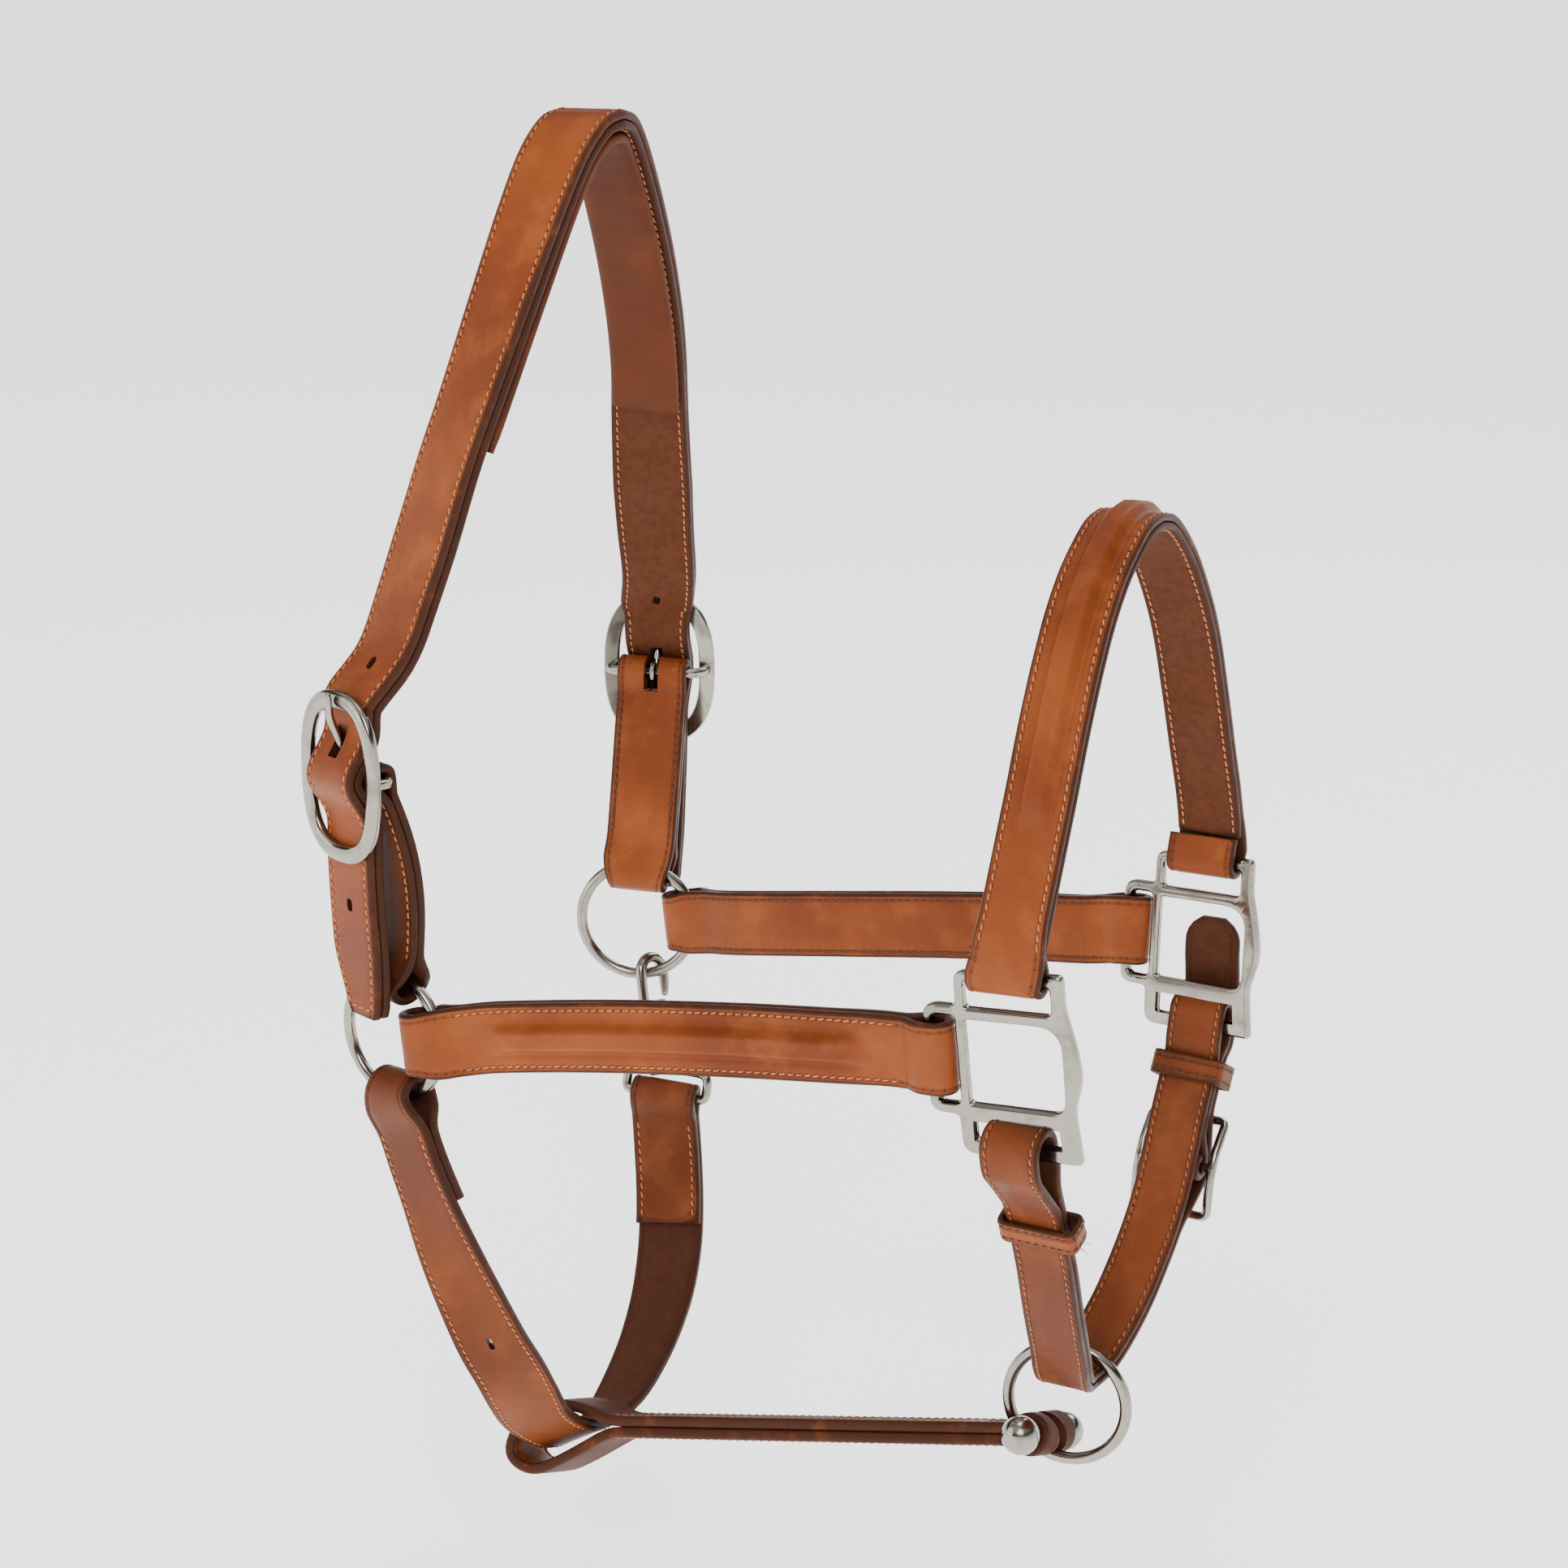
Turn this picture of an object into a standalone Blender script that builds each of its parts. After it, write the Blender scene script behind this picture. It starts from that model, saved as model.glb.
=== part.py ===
"""A leather headcollar: crown, cheeks, noseband, chin strap and throat strap, with its metal fittings.

Sizes are millimetres, converted once by the root empty's scale-free helper `put`.
+X points to the nose, +Y to the horse's left (the near side), +Z up.
Design points are measured from the point midway between the two side rings.
The model's own origin is the underside of the crown pad at the poll.
"""

import math

import bmesh
import bpy
from mathutils import Matrix, Vector

# ---- driving dimensions, mm ---------------------------------------------------------------
MM = 0.001
POLL = Vector((37.2, 0.0, 312.4))       # the model's origin, from the middle of the side rings
GAP = 0.3                               # air left between pieces that touch

RING_R = 22.8                           # middle radius of the side rings, 50 mm over all
RING_REACH = 0.93                       # share of it at which a cheek strap folds round
RING_WIRE = 2.2                         # radius of the rings' wire
SIDE_RING_Y = 81.5
SIDE_RING_Z = {"off": 0.0, "near": 0.7}
CHIN_RING_R = 21.7
RING_TURN = {"off": 8.0, "near": 20.0}  # how far each ring's front stands outward, degrees
CHIN_RING = Vector((231.7, 0.0, -122.8))
CHIN_RING_TURN = 9.0

CROWN_W = 28.8
BILLET_SLIM = 3.1                       # less width in and below the buckles
CROWN_WIDER = 1.8                       # more width between the pad and the buckles
CROWN_PLY = 3.4
BILLET_TIP_W = 20.0                     # width of the crown's squared-off ends
PAD_W = 26.4
PAD_COVER = 1.2
PAD_FOAM = 2.4
PAD_END_Z = 215.0                       # height of both ends of the poll pad

CHAPE_W = 28.0
CHAPE_REACH = {"off": 8.0, "near": 8.2}         # middle of the fold below the ring's top wire
CHAPE_FOLD_NARROW = {"off": 8.5, "near": 5.4}   # how much the fold at the ring is narrowed
CHAPE_PLY = 3.2
SIDE_TWIST = 18.0                       # crown ends, chapes and buckles face a little rearward
BUCKLE_Z = 100.0                        # centre bar of the head buckles
BUCKLE_OUT = 22.6                       # frame plane, outward of the ring centre
BAR_OUT = 14.0                          # centre bar, outward of the ring centre
BUCKLE_FORWARD = {"off": 4.3, "near": 4.6}
CHAPE_FORWARD = {"off": 0.0, "near": 1.2}       # the chape's middle at the ring
CHAPE_BULGE = {"off": 3.8, "near": 1.2}         # how far its middle stands forward
BUCKLE_A, BUCKLE_B = 19.6, 27.6         # half axes of the frame's middle line
BUCKLE_BAND = 6.2
BAR_REACH = 18.6                        # half the length of a head buckle's bar
OVAL = 2.6                              # squareness of the frame's outline
BILLET_OUT = 20.4                       # billet's face behind the frame, from the ring centre
BILLET_SWELL = 8.2                      # how far it rises over the centre bar
BILLET_REACH = 18.5                     # half length of that rise
BUCKLE_T = 3.5
BAR_R = 2.0

CHEEK_W = 25.4
CHEEK_PLY = 3.2
CHEEK_FOLD_NARROW = 2.4                 # how much the fold at the ring is narrowed
CHEEK_RISE = 4.0                        # height of the raised centre
CHEEK_END = {"off": 12.2, "near": 10.8}  # how far each fold reaches behind the ring's front
NOSE_W = 24.0
NOSE_PLY = 2.8
NOSE_RISE = 3.4

SQUARE_T = 4.2
SQUARE_AT = {"off": Vector((245.5, -76.7, 29.5)), "near": Vector((244.9, 77.8, 30.0))}
NEAR_WIDER = 1.6                        # the near square stands further out than the off one
SQUARE_LEAN = 5.6                       # its foot leans inward
SQUARE_TURN = 2.8                       # its front turns inward
SQUARE_PITCH = {"off": 3.0, "near": 0.5}  # its nose is up

CHIN_W = 21.0
CHIN_PLY = 3.0
CHIN_PINCH = 1.1                        # less width inside the chin ring
CHIN_BUCKLE_OUT = 5.5                   # its bar, outward of the middle of the two runs
CHIN_BUCKLE_HALF = (14.2, 17.6)         # half width and half length of its frame
CHIN_BUCKLE_LIFT = 5.0                  # how far its two ends curve outward of its bar
OFF_KEEPER_Z, NEAR_KEEPER_Z = -33.0, -15.5
THROAT_W = 27.0
THROAT_PLY = 3.8
THROAT_FOLD_NARROW = 7.6                # how much the fold at the ring is narrowed
JOIN_W = 25.4
JOIN_PLY = 4.2
JOIN_ROLL = 20.0
BOLT_R = 3.1
BOLT_BALL_R = 7.0
BALL_SET = 0.86                         # a ball's centre outside the strap, in ball radii

SIDES = {"off": -1.0, "near": 1.0}


# ---- small helpers ------------------------------------------------------------------------
def put(p):
    """A design point in millimetres as a model point in metres."""
    return (Vector(p) - POLL) * MM


def unit(degrees, s=1.0):
    """The level direction `degrees` outward of +X on side s."""
    a = math.radians(degrees)
    return Vector((math.cos(a), s * math.sin(a), 0.0))


def ease(t):
    t = min(1.0, max(0.0, t))
    return t * t * (3.0 - 2.0 * t)


def curve_through(points, per=6):
    """A smooth curve through the points, with `per` steps between neighbours."""
    pts = [Vector(p) for p in points]
    pts = [2 * pts[0] - pts[1]] + pts + [2 * pts[-1] - pts[-2]]
    out = []
    for i in range(1, len(pts) - 2):
        a, b, c, d = pts[i - 1:i + 3]
        for k in range(per):
            t = k / per
            out.append(0.5 * (2 * b + (c - a) * t + (2 * a - 5 * b + 4 * c - d) * t * t
                              + (3 * b - a - 3 * c + d) * t * t * t))
    out.append(pts[-2].copy())
    return out


class Spine:
    """A strap's route: points, the direction across the strap, and the outward normal."""

    def __init__(self, points, across, flip=1.0):
        self.p = points
        self.s = [0.0]
        for a, b in zip(points, points[1:]):
            self.s.append(self.s[-1] + (b - a).length)
        self.length = self.s[-1]
        self.w, self.n, self.flip = [], [], flip
        last = len(points) - 1
        for i in range(len(points)):
            t = (points[min(i + 1, last)] - points[max(i - 1, 0)]).normalized()
            w = across[i] - across[i].dot(t) * t
            w.normalize()
            self.w.append(w)
            self.n.append(flip * t.cross(w))

    def at(self, a):
        """Middle point, across and normal, at distance a along the route."""
        a = min(self.length, max(0.0, a))
        i = 0
        while i < len(self.s) - 2 and self.s[i + 1] < a:
            i += 1
        t = (a - self.s[i]) / (self.s[i + 1] - self.s[i])
        return (self.p[i].lerp(self.p[i + 1], t), self.w[i].lerp(self.w[i + 1], t).normalized(),
                self.n[i].lerp(self.n[i + 1], t).normalized())

    def near(self, want, start=0.0):
        """The distance along the route, from start on, where want(point) first turns true."""
        for i in range(1, len(self.s)):
            if self.s[i] >= start and want(self.p[i]):
                low, high = self.s[i - 1], self.s[i]
                for _ in range(12):
                    middle = 0.5 * (low + high)
                    low, high = (low, middle) if want(self.at(middle)[0]) else (middle, high)
                return high
        return self.length


# ---- making objects -----------------------------------------------------------------------
def material(name, colour, rough, metal):
    m = bpy.data.materials.new(name)
    m.use_nodes = True
    shader = m.node_tree.nodes["Principled BSDF"]
    shader.inputs["Base Color"].default_value = (*colour, 1.0)
    shader.inputs["Roughness"].default_value = rough
    shader.inputs["Metallic"].default_value = metal
    return m


def finish_object(name, bm, look, origin=None):
    """Make an object from bm, whose points are model metres, with its origin on a joint axis."""
    bmesh.ops.recalc_face_normals(bm, faces=bm.faces)
    if origin is not None:
        bmesh.ops.translate(bm, verts=bm.verts, vec=-Vector(origin))
    mesh = bpy.data.meshes.new(name)
    bm.to_mesh(mesh)
    bm.free()
    mesh.shade_smooth()
    mesh.set_sharp_from_angle(angle=math.radians(35))
    obj = bpy.data.objects.new(name, mesh)
    if origin is not None:
        obj.location = origin
    bpy.context.scene.collection.objects.link(obj)
    mesh.materials.append(look)
    return obj


def loft(bm, rings, closed=False, split=False):
    """Skin a list of equal rings of design points; open lofts get end caps. A split loft's
    faces are halved along diagonals that match those of the plies above and below it."""
    rows = [[bm.verts.new(put(p)) for p in ring] for ring in rings]
    n = len(rows[0])
    for a, b in zip(rows, rows[1:] + (rows[:1] if closed else [])):
        across = a[1].co - a[0].co
        for i in range(n):
            j = (i + 1) % n
            if not split:
                bm.faces.new((a[i], a[j], b[j], b[i]))
            elif (a[j].co - a[i].co).dot(across) > 0:
                bm.faces.new((a[i], a[j], b[j]))
                bm.faces.new((a[i], b[j], b[i]))
            else:
                bm.faces.new((a[i], a[j], b[i]))
                bm.faces.new((a[j], b[j], b[i]))
    if not closed:
        bm.faces.new(rows[0][::-1])
        bm.faces.new(rows[-1])


def strap_rings(spine, route, width, thick, section=None):
    """Sections of a strap along route, a list of (distance, height over the spine)."""
    pts, frames, normals = [], [], []
    for a, b in route:
        p, w, n = spine.at(a)
        pts.append(p + n * b)
        frames.append(w)
        normals.append(n)
    rings = []
    last = len(pts) - 1
    for i, (p, w) in enumerate(zip(pts, frames)):
        before, after = max(i - 1, 0), min(i + 1, last)
        t = (pts[after] - pts[before]).normalized()
        n = spine.flip * t.cross(w).normalized()
        if abs(route[before][1] - route[after][1]) < 1e-6:
            n = normals[i] if n.dot(normals[i]) > 0 else -normals[i]
        half = 0.5 * (width(route[i][0]) if callable(width) else width)
        if section is None:
            corners = [(-half, -thick / 2), (half, -thick / 2), (half, thick / 2),
                       (-half, thick / 2)]
        else:
            corners = section(i, route[i][0], half)
        rings.append([p + w * u + n * v for u, v in corners])
    return rings


def strap(name, spine, route, width, thick, look, section=None):
    bm = bmesh.new()
    loft(bm, strap_rings(spine, route, width, thick, section), split=True)
    return finish_object(name, bm, look)


def tube_rings(points, radius, sides, up):
    """Round sections along points; radius is a number or one value for each point."""
    rings = []
    last = len(points) - 1
    side = Vector(up)
    for i, p in enumerate(points):
        t = (points[min(i + 1, last)] - points[max(i - 1, 0)]).normalized()
        side = (side - side.dot(t) * t).normalized()
        other = t.cross(side)
        r = radius[i] if isinstance(radius, list) else radius
        ring = []
        for k in range(sides):
            a = 2 * math.pi * k / sides
            ring.append(p + side * (r * math.cos(a)) + other * (r * math.sin(a)))
        rings.append(ring)
    return rings


def tube(bm, points, radius, sides=8, up=(0, 0, 1)):
    loft(bm, tube_rings(points, radius, sides, up))


def cutter(bm):
    """A hidden object for a Boolean, from bm."""
    bmesh.ops.recalc_face_normals(bm, faces=bm.faces)
    mesh = bpy.data.meshes.new("cutter")
    bm.to_mesh(mesh)
    bm.free()
    obj = bpy.data.objects.new("cutter", mesh)
    bpy.context.scene.collection.objects.link(obj)
    obj.hide_render = True
    obj.display_type = "WIRE"
    return obj


def combine(obj, bm, operation):
    """Join or cut obj with the shape in bm."""
    mod = obj.modifiers.new(operation.lower(), "BOOLEAN")
    mod.operation = operation
    mod.solver = "EXACT"
    mod.object = cutter(bm)


def box_bm(centre, u, v, w, size):
    """A box about a design point with unit axes u, v, w and full sizes."""
    bm = bmesh.new()
    rings = []
    for k in (-0.5, 0.5):
        mid = centre + w * (k * size[2])
        rings.append([mid + u * (i * size[0]) + v * (j * size[1])
                      for i, j in ((-0.5, -0.5), (0.5, -0.5), (0.5, 0.5), (-0.5, 0.5))])
    loft(bm, rings)
    return bm


def plate_bm(outline, place, low, high):
    """An outline of (u, v) extruded between two heights, placed by place(u, v, height)."""
    bm = bmesh.new()
    loft(bm, [[place(u, v, h) for u, v in outline] for h in (low, high)])
    return bm


def rounded(corners, steps=4):
    """An outline from (u, v, radius) corners, each rounded off by an arc."""
    out = []
    n = len(corners)
    for i, (u, v, r) in enumerate(corners):
        here = Vector((u, v))
        before = Vector(corners[i - 1][:2]) - here
        after = Vector(corners[(i + 1) % n][:2]) - here
        if r <= 0:
            out.append((u, v))
            continue
        reach = min(r, 0.45 * before.length, 0.45 * after.length)
        a = here + before.normalized() * reach
        b = here + after.normalized() * reach
        for k in range(steps + 1):
            t = k / steps
            p = a * (1 - t) ** 2 + here * (2 * t * (1 - t)) + b * t * t
            out.append((p.x, p.y))
    return out


# ---- routes -------------------------------------------------------------------------------
def crown_spine():
    """The crown's outer face from the off billet's end, over the poll, to the near billet's."""
    lean = unit(SIDE_TWIST, 1.0)
    half = []
    # the straight and arched part: x, y, z and twist
    for x, y, z, twist in (
        (37.0, 0.0, 324.8, 0.0), (36.0, 10.0, 322.0, 0.0), (34.0, 20.8, 311.2, 1.0),
        (32.0, 31.6, 293.6, 4.0), (29.5, 42.6, 272.2, 8.0), (26.2, 52.8, 249.6, 12.0),
        (22.6, 60.6, 229.6, 15.0), (18.0, 68.2, 207.8, 17.0), (14.0, 75.6, 185.0, 18.0),
        (10.0, 83.8, 162.0, 18.0), (6.6, 91.4, 144.0, 18.0),
    ):
        half.append((Vector((x, y, z)), unit(twist)))
    # behind the buckle's top, over its centre bar, behind its foot, then the hanging billet
    out = Vector((-lean.y, lean.x, 0.0))
    base = Vector((0.0, SIDE_RING_Y, 0.0)) + lean * 0.5
    for z in (129.5, 124.0, 118.0, 114.5, 111.0, 107.5, 104.0, 100.0, 96.0, 92.5, 89.0, 85.5,
              82.0, 76.0, 66.0, 52.0, 38.0, 25.0, 12.0):
        reach = min(90.0, abs(z - BUCKLE_Z) * 90.0 / BILLET_REACH)
        swell = BILLET_SWELL * math.cos(math.radians(reach)) ** 2
        rest = BILLET_OUT - 3.0 * ease((72.0 - z) / 60.0) - 4.0 * ease((z - 124.0) / 12.0)
        forward = 4.2 * (z + 60.0) / (BUCKLE_Z + 60.0)
        half.append((base + lean * forward + out * (rest + swell) + Vector((0, 0, z)), lean))
    points = curve_through([p for p, _ in half], 4)
    across = curve_through([w for _, w in half], 4)
    flip = Matrix.Diagonal((1.0, -1.0, 1.0))
    left = [flip @ p for p in points[:0:-1]]
    left_w = [flip @ w for w in across[:0:-1]]
    return Spine(left + points, left_w + across, -1.0)


def chape_spine(side):
    """The middle of a chape's two plies, from its ring up to its buckle's centre bar."""
    s = SIDES[side]
    lean = unit(SIDE_TWIST, s)
    out = Vector((-math.sin(math.radians(SIDE_TWIST)), s * math.cos(math.radians(SIDE_TWIST)), 0))
    base = Vector((0.0, s * SIDE_RING_Y, 0.0))
    points = []
    for i in range(41):
        z = 5.0 + i * (BUCKLE_Z + 12.0 - 5.0) / 40
        t = (z - RING_R) / (BUCKLE_Z - RING_R)
        rise = BAR_OUT * max(0.0, t) ** 2.6
        forward = CHAPE_FORWARD[side] + (BUCKLE_FORWARD[side] - CHAPE_FORWARD[side]) * t
        forward += CHAPE_BULGE[side] * math.sin(math.pi * min(1.0, max(0.0, t)))
        points.append(base + lean * forward + out * rise + Vector((0, 0, z)))
    return Spine(points, [lean] * len(points), s)


def cheek_spine(side):
    """The middle of a cheek strap's two plies, from its ring to its square."""
    s = SIDES[side]
    turn = math.sin(math.radians(RING_TURN[side]))
    start = SIDE_RING_Y + RING_R * turn
    drop = 1.8 if side == "off" else 1.6
    front = square_point(s, -29.2, 0.6)
    forward, outward, up = square_axes(s)
    points = [Vector((x, s * y, z)) for x, y, z in (
        (2.0, start + 0.2, 0.6 - drop), (20.0, start, 2.9 - drop),
        (32.0, 0.5 * (start + 81.6), 4.3 - 0.5 * drop), (48.0, 80.6, 6.6), (91.0, 78.2, 13.4),
        (140.0, 78.2, 20.4), (180.0, 78.6, 25.4), (200.0, 78.3, 27.7))]
    across = [Vector((0.0, 0.0, 1.0))] * 6 + [Vector((0.0, 0.0, 1.0)).lerp(up, 0.5)] + [up]
    points += [front, front + forward * 14.0]
    across += [up, up]
    return Spine(curve_through(points, 5), curve_through(across, 5), -s)


def nose_spine():
    """The noseband's outer face from the off square, over the nose, to the near square."""
    half = [
        (247.5, 0.0, 199.6), (247.5, 10.3, 197.6), (247.4, 20.0, 191.6), (247.2, 30.0, 183.0),
        (247.2, 39.6, 171.6), (247.4, 47.8, 159.2), (247.4, 54.3, 147.0), (247.2, 60.3, 133.4),
        (247.1, 66.2, 119.0), (246.8, 72.2, 104.4), (246.5, 77.8, 90.6), (245.9, 83.0, 76.0),
        (245.4, 85.4, 64.6),
    ]
    points = curve_through([Vector(p) for p in half], 4)
    flip = Matrix.Diagonal((1.0, -1.0, 1.0))
    left = [flip @ p for p in points[:0:-1]]
    right = [p + Vector((0.0, NEAR_WIDER * ease((112.0 - p.z) / 48.0), 0.0)) for p in points]
    points = left + right
    return Spine(points, [Vector((1.0, 0.0, 0.0))] * len(points), -1.0)


def square_axes(s):
    """Forward, outward and upward directions of a square fitting on side s."""
    turn = Matrix.Rotation(-s * math.radians(SQUARE_TURN), 3, "Z")
    lean = Matrix.Rotation(-s * math.radians(SQUARE_LEAN), 3, "X")
    pitch = Matrix.Rotation(-math.radians(SQUARE_PITCH["near" if s > 0 else "off"]), 3, "Y")
    m = lean @ turn @ pitch
    return m @ Vector((1, 0, 0)), m @ Vector((0, s, 0)), m @ Vector((0, 0, 1))


def square_point(s, p, q, h=0.0):
    """A point of a square fitting: p forward, q up and h outward of its window's middle."""
    forward, outward, up = square_axes(s)
    middle = SQUARE_AT["near" if s > 0 else "off"]
    return middle + forward * p + up * q + outward * h


def chin_spine():
    """The middle of the chin strap's two runs, from the off square's foot bar, through the
    chin ring, to the near square's foot bar."""
    half = [
        (233.9, 0.0, -111.8), (235.0, 8.0, -109.8), (237.6, 16.8, -102.6), (240.6, 25.6, -91.8),
        (242.8, 34.2, -79.4), (244.6, 42.0, -66.4), (245.8, 48.2, -53.8), (246.2, 53.6, -41.6),
        (246.4, 59.0, -30.0), (246.8, 65.0, -18.0), (247.2, 70.6, -7.0), (247.2, 73.4, 0.0),
        (247.2, 75.4, 10.0), (247.2, 76.8, 22.0), (247.2, 78.0, 34.0), (247.2, 79.0, 46.0),
    ]
    points = curve_through([Vector(p) for p in half], 4)
    flip = Matrix.Diagonal((1.0, -1.0, 1.0))
    left = [flip @ p for p in points[:0:-1]]
    right = [p + Vector((0.0, NEAR_WIDER * ease((p.z + 104.0) / 40.0), 0.0)) for p in points]
    points = left + right
    return Spine(points, [Vector((1.0, 0.0, 0.0))] * len(points), 1.0)


def throat_spine():
    """The throat strap's middle, from the off ring's foot, under the jaw, up to the snap."""
    # x, y, z, twist about the vertical and rise of the front edge
    off = [
        (2.0, 81.6, -14.0, 10.0, 0.0), (2.6, 81.6, -28.0, 11.0, 0.0),
        (7.4, 80.8, -45.0, 10.0, 0.0), (13.6, 78.6, -64.0, 5.0, 2.0),
        (19.0, 74.8, -84.0, -7.0, 6.0), (23.8, 69.4, -103.4, -16.0, 14.0),
        (27.0, 62.6, -121.0, -23.0, 22.0), (29.0, 55.2, -134.6, -25.0, 27.0),
        (28.8, 46.8, -147.6, -22.0, 28.0), (27.0, 34.8, -161.8, -10.0, 27.0),
        (27.8, 17.8, -174.6, -5.0, 30.0),
    ]
    narrow = [
        (17.4, 75.6, -84.0), (22.0, 70.4, -103.4), (26.0, 63.6, -121.0), (28.4, 56.4, -134.6),
        (29.8, 47.4, -147.6), (30.0, 34.8, -161.6), (29.0, 18.0, -174.6),
    ]
    rises = [0.0, 3.0, 6.0, 9.0, 13.0, 17.0, 22.0]
    near = [(x - 0.8, -y, z, -14.0 * ease((z + 180.0) / 60.0), r)
            for (x, y, z), r in list(zip(narrow, rises))[::-1]]
    near[-1] = (17.4, -74.6, -84.0, -14.0, 0.0)
    near += [(17.6, -73.4, -74.0, -14.0, 0.0), (19.0, -71.6, -62.0, -14.0, 0.0)]
    route = off + [(27.2, 0.0, -179.8, 0.0, 30.0)] + near
    points = curve_through([Vector((x, -y, z)) for x, y, z, _, _ in route], 4)
    across = [unit(-t) + Vector((0.0, 0.0, math.tan(math.radians(r)))) for _, _, _, t, r in route]
    return Spine(points, curve_through(across, 4), 1.0)


def join_frame():
    """The joining strap's rear stitched point, the bolt's centre, and the strap's direction
    forward, across it to the near side, and upward."""
    rear, front = Vector((49.0, -11.6, -170.6)), Vector((223.0, -0.9, -136.7))
    along = (front - rear).normalized()
    roll = math.radians(JOIN_ROLL)
    across = Vector((0.0, math.cos(roll), -math.sin(roll)))
    across = (across - across.dot(along) * along).normalized()
    return rear, front, along, across


def fold(a_in, a_end, half, swell, over, hold=0.0, step=5.0):
    """One end of a folded strap: (distance, height) points from the inner ply at a_in, round a
    loop whose middle line is `swell` from the spine and ends at a_end, to the outer ply. The
    plies part over the length `over` and stay parted for the length `hold`."""
    way = 1.0 if a_end > a_in else -1.0
    centre = a_end - way * swell
    count = max(3, int(round(over / step)))
    side = []
    for i in range(count + 1):
        t = i / count
        side.append((centre - way * (hold + over * (1 - t)), half + (swell - half) * ease(t)))
    if hold > 0:
        side.append((centre, swell))
    turn = [(centre + way * swell * math.sin(math.radians(k)),
             -swell * math.cos(math.radians(k))) for k in range(30, 180, 30)]
    inner = [(a, -half) for a in spread(a_in, side[0][0], 14.0)[:-1]]
    return inner + [(a, -b) for a, b in side] + turn + side[::-1] + [(a_in, half)]


# ---- crown --------------------------------------------------------------------------------
def tongue_slot(side):
    """A slanted slot for a head buckle's tongue through a billet, with room for it to lift."""
    origin, across, out, up = head_buckle_frame(side)
    bar = origin + out * (BAR_OUT - BUCKLE_OUT)
    low, high = bar + out * 3.3 + up * 2.4, bar + out * 10.9 + up * 20.0
    along = (high - low).normalized()
    thick = across.cross(along)
    thick = thick if thick.dot(out) > 0 else -thick
    return box_bm(low.lerp(high, 0.5) + thick * 1.0, across, thick, along, (4.6, 6.4, 19.0))


def head_buckle_frame(side):
    """A head buckle's centre and its across, outward and upward directions."""
    s = SIDES[side]
    lean = unit(SIDE_TWIST, s)
    out = Vector((-math.sin(math.radians(SIDE_TWIST)), s * math.cos(math.radians(SIDE_TWIST)), 0))
    centre = Vector((0.0, s * SIDE_RING_Y, BUCKLE_Z))
    centre += lean * BUCKLE_FORWARD[side] + out * BUCKLE_OUT
    return centre, lean, out, Vector((0, 0, 1))


def spread(start, end, step):
    count = max(1, int(round(abs(end - start) / step)))
    return [start + (end - start) * i / count for i in range(count + 1)]


def crown_stations(spine):
    """Distances along the crown: closer together where it bends."""
    inner = spine.near(lambda p: p.z > 132.0)
    top = spine.length / 2
    half = (spread(0.0, 44.0, 11.0)[:-1] + spread(44.0, inner, 3.2)[:-1]
            + spread(inner, top - 42.0, 11.0)[:-1] + spread(top - 42.0, top, 5.3))
    return half + [spine.length - a for a in half[-2::-1]]


def billet_width(spine):
    """The crown's width: narrower towards the squared-off ends of its two billets."""
    middle = spine.near(lambda p: p.z > 180.0)

    def width(a):
        edge = min(a, spine.length - a)
        wider = CROWN_WIDER * max(0.0, 1.0 - abs(edge - middle) / 45.0)
        slim = BILLET_SLIM * ease((125.0 - edge) / 15.0)
        return CROWN_W + wider - slim - (CROWN_W - BILLET_TIP_W) * ease((26.0 - edge) / 30.0)
    return width


def crown(spine, looks):
    route = crown_stations(spine)
    width = billet_width(spine)
    outer = strap("crown_strap", spine, [(a, -CROWN_PLY / 2) for a in route], width,
                  CROWN_PLY, looks["leather"])
    low = -CROWN_PLY - GAP - CROWN_PLY / 2
    lining = strap("crown_lining", spine, [(a, low) for a in route], width, CROWN_PLY,
                   looks["leather_dark"])
    for side in SIDES:
        combine(outer, tongue_slot(side), "DIFFERENCE")
        combine(lining, tongue_slot(side), "DIFFERENCE")
    pad(spine, looks, route)


def pad(spine, looks, stations):
    start = spine.near(lambda p: p.z > PAD_END_Z)
    end = spine.near(lambda p: p.z < PAD_END_Z, spine.length / 2)
    thick = 2 * PAD_COVER + 2 * GAP + PAD_FOAM
    middle = -2 * CROWN_PLY - 2 * GAP - thick / 2
    inside = [a for a in stations if start + 3.0 < a < end - 3.0]
    route = [(a, middle) for a in [start] + inside + [end]]
    foam_half = PAD_W / 2 - PAD_COVER - 2.2

    def skin(i, a, half):
        bulge = thick / 2
        return [(-half + 2.2, -bulge), (half - 2.2, -bulge), (half, -bulge + 2.0),
                (half, bulge - 2.0), (half - 2.2, bulge), (-half + 2.2, bulge),
                (-half, bulge - 2.0), (-half, -bulge + 2.0)]

    def hollow(i, a, half):
        inner = thick / 2 - PAD_COVER
        edge = foam_half + GAP
        return [(-edge, -inner), (0.0, -inner), (edge, -inner), (edge, 0.0), (edge, inner),
                (0.0, inner), (-edge, inner), (-edge, 0.0)]

    # a sleeve: its closed skin runs along the outside and back along the inside
    bm = bmesh.new()
    loft(bm, strap_rings(spine, route, PAD_W, thick, skin)
         + strap_rings(spine, route, PAD_W, thick, hollow)[::-1], closed=True, split=True)
    finish_object("poll_pad_cover", bm, looks["leather_dark"])
    strap("poll_pad_foam", spine, route, 2 * foam_half, PAD_FOAM, looks["foam"])


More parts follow.
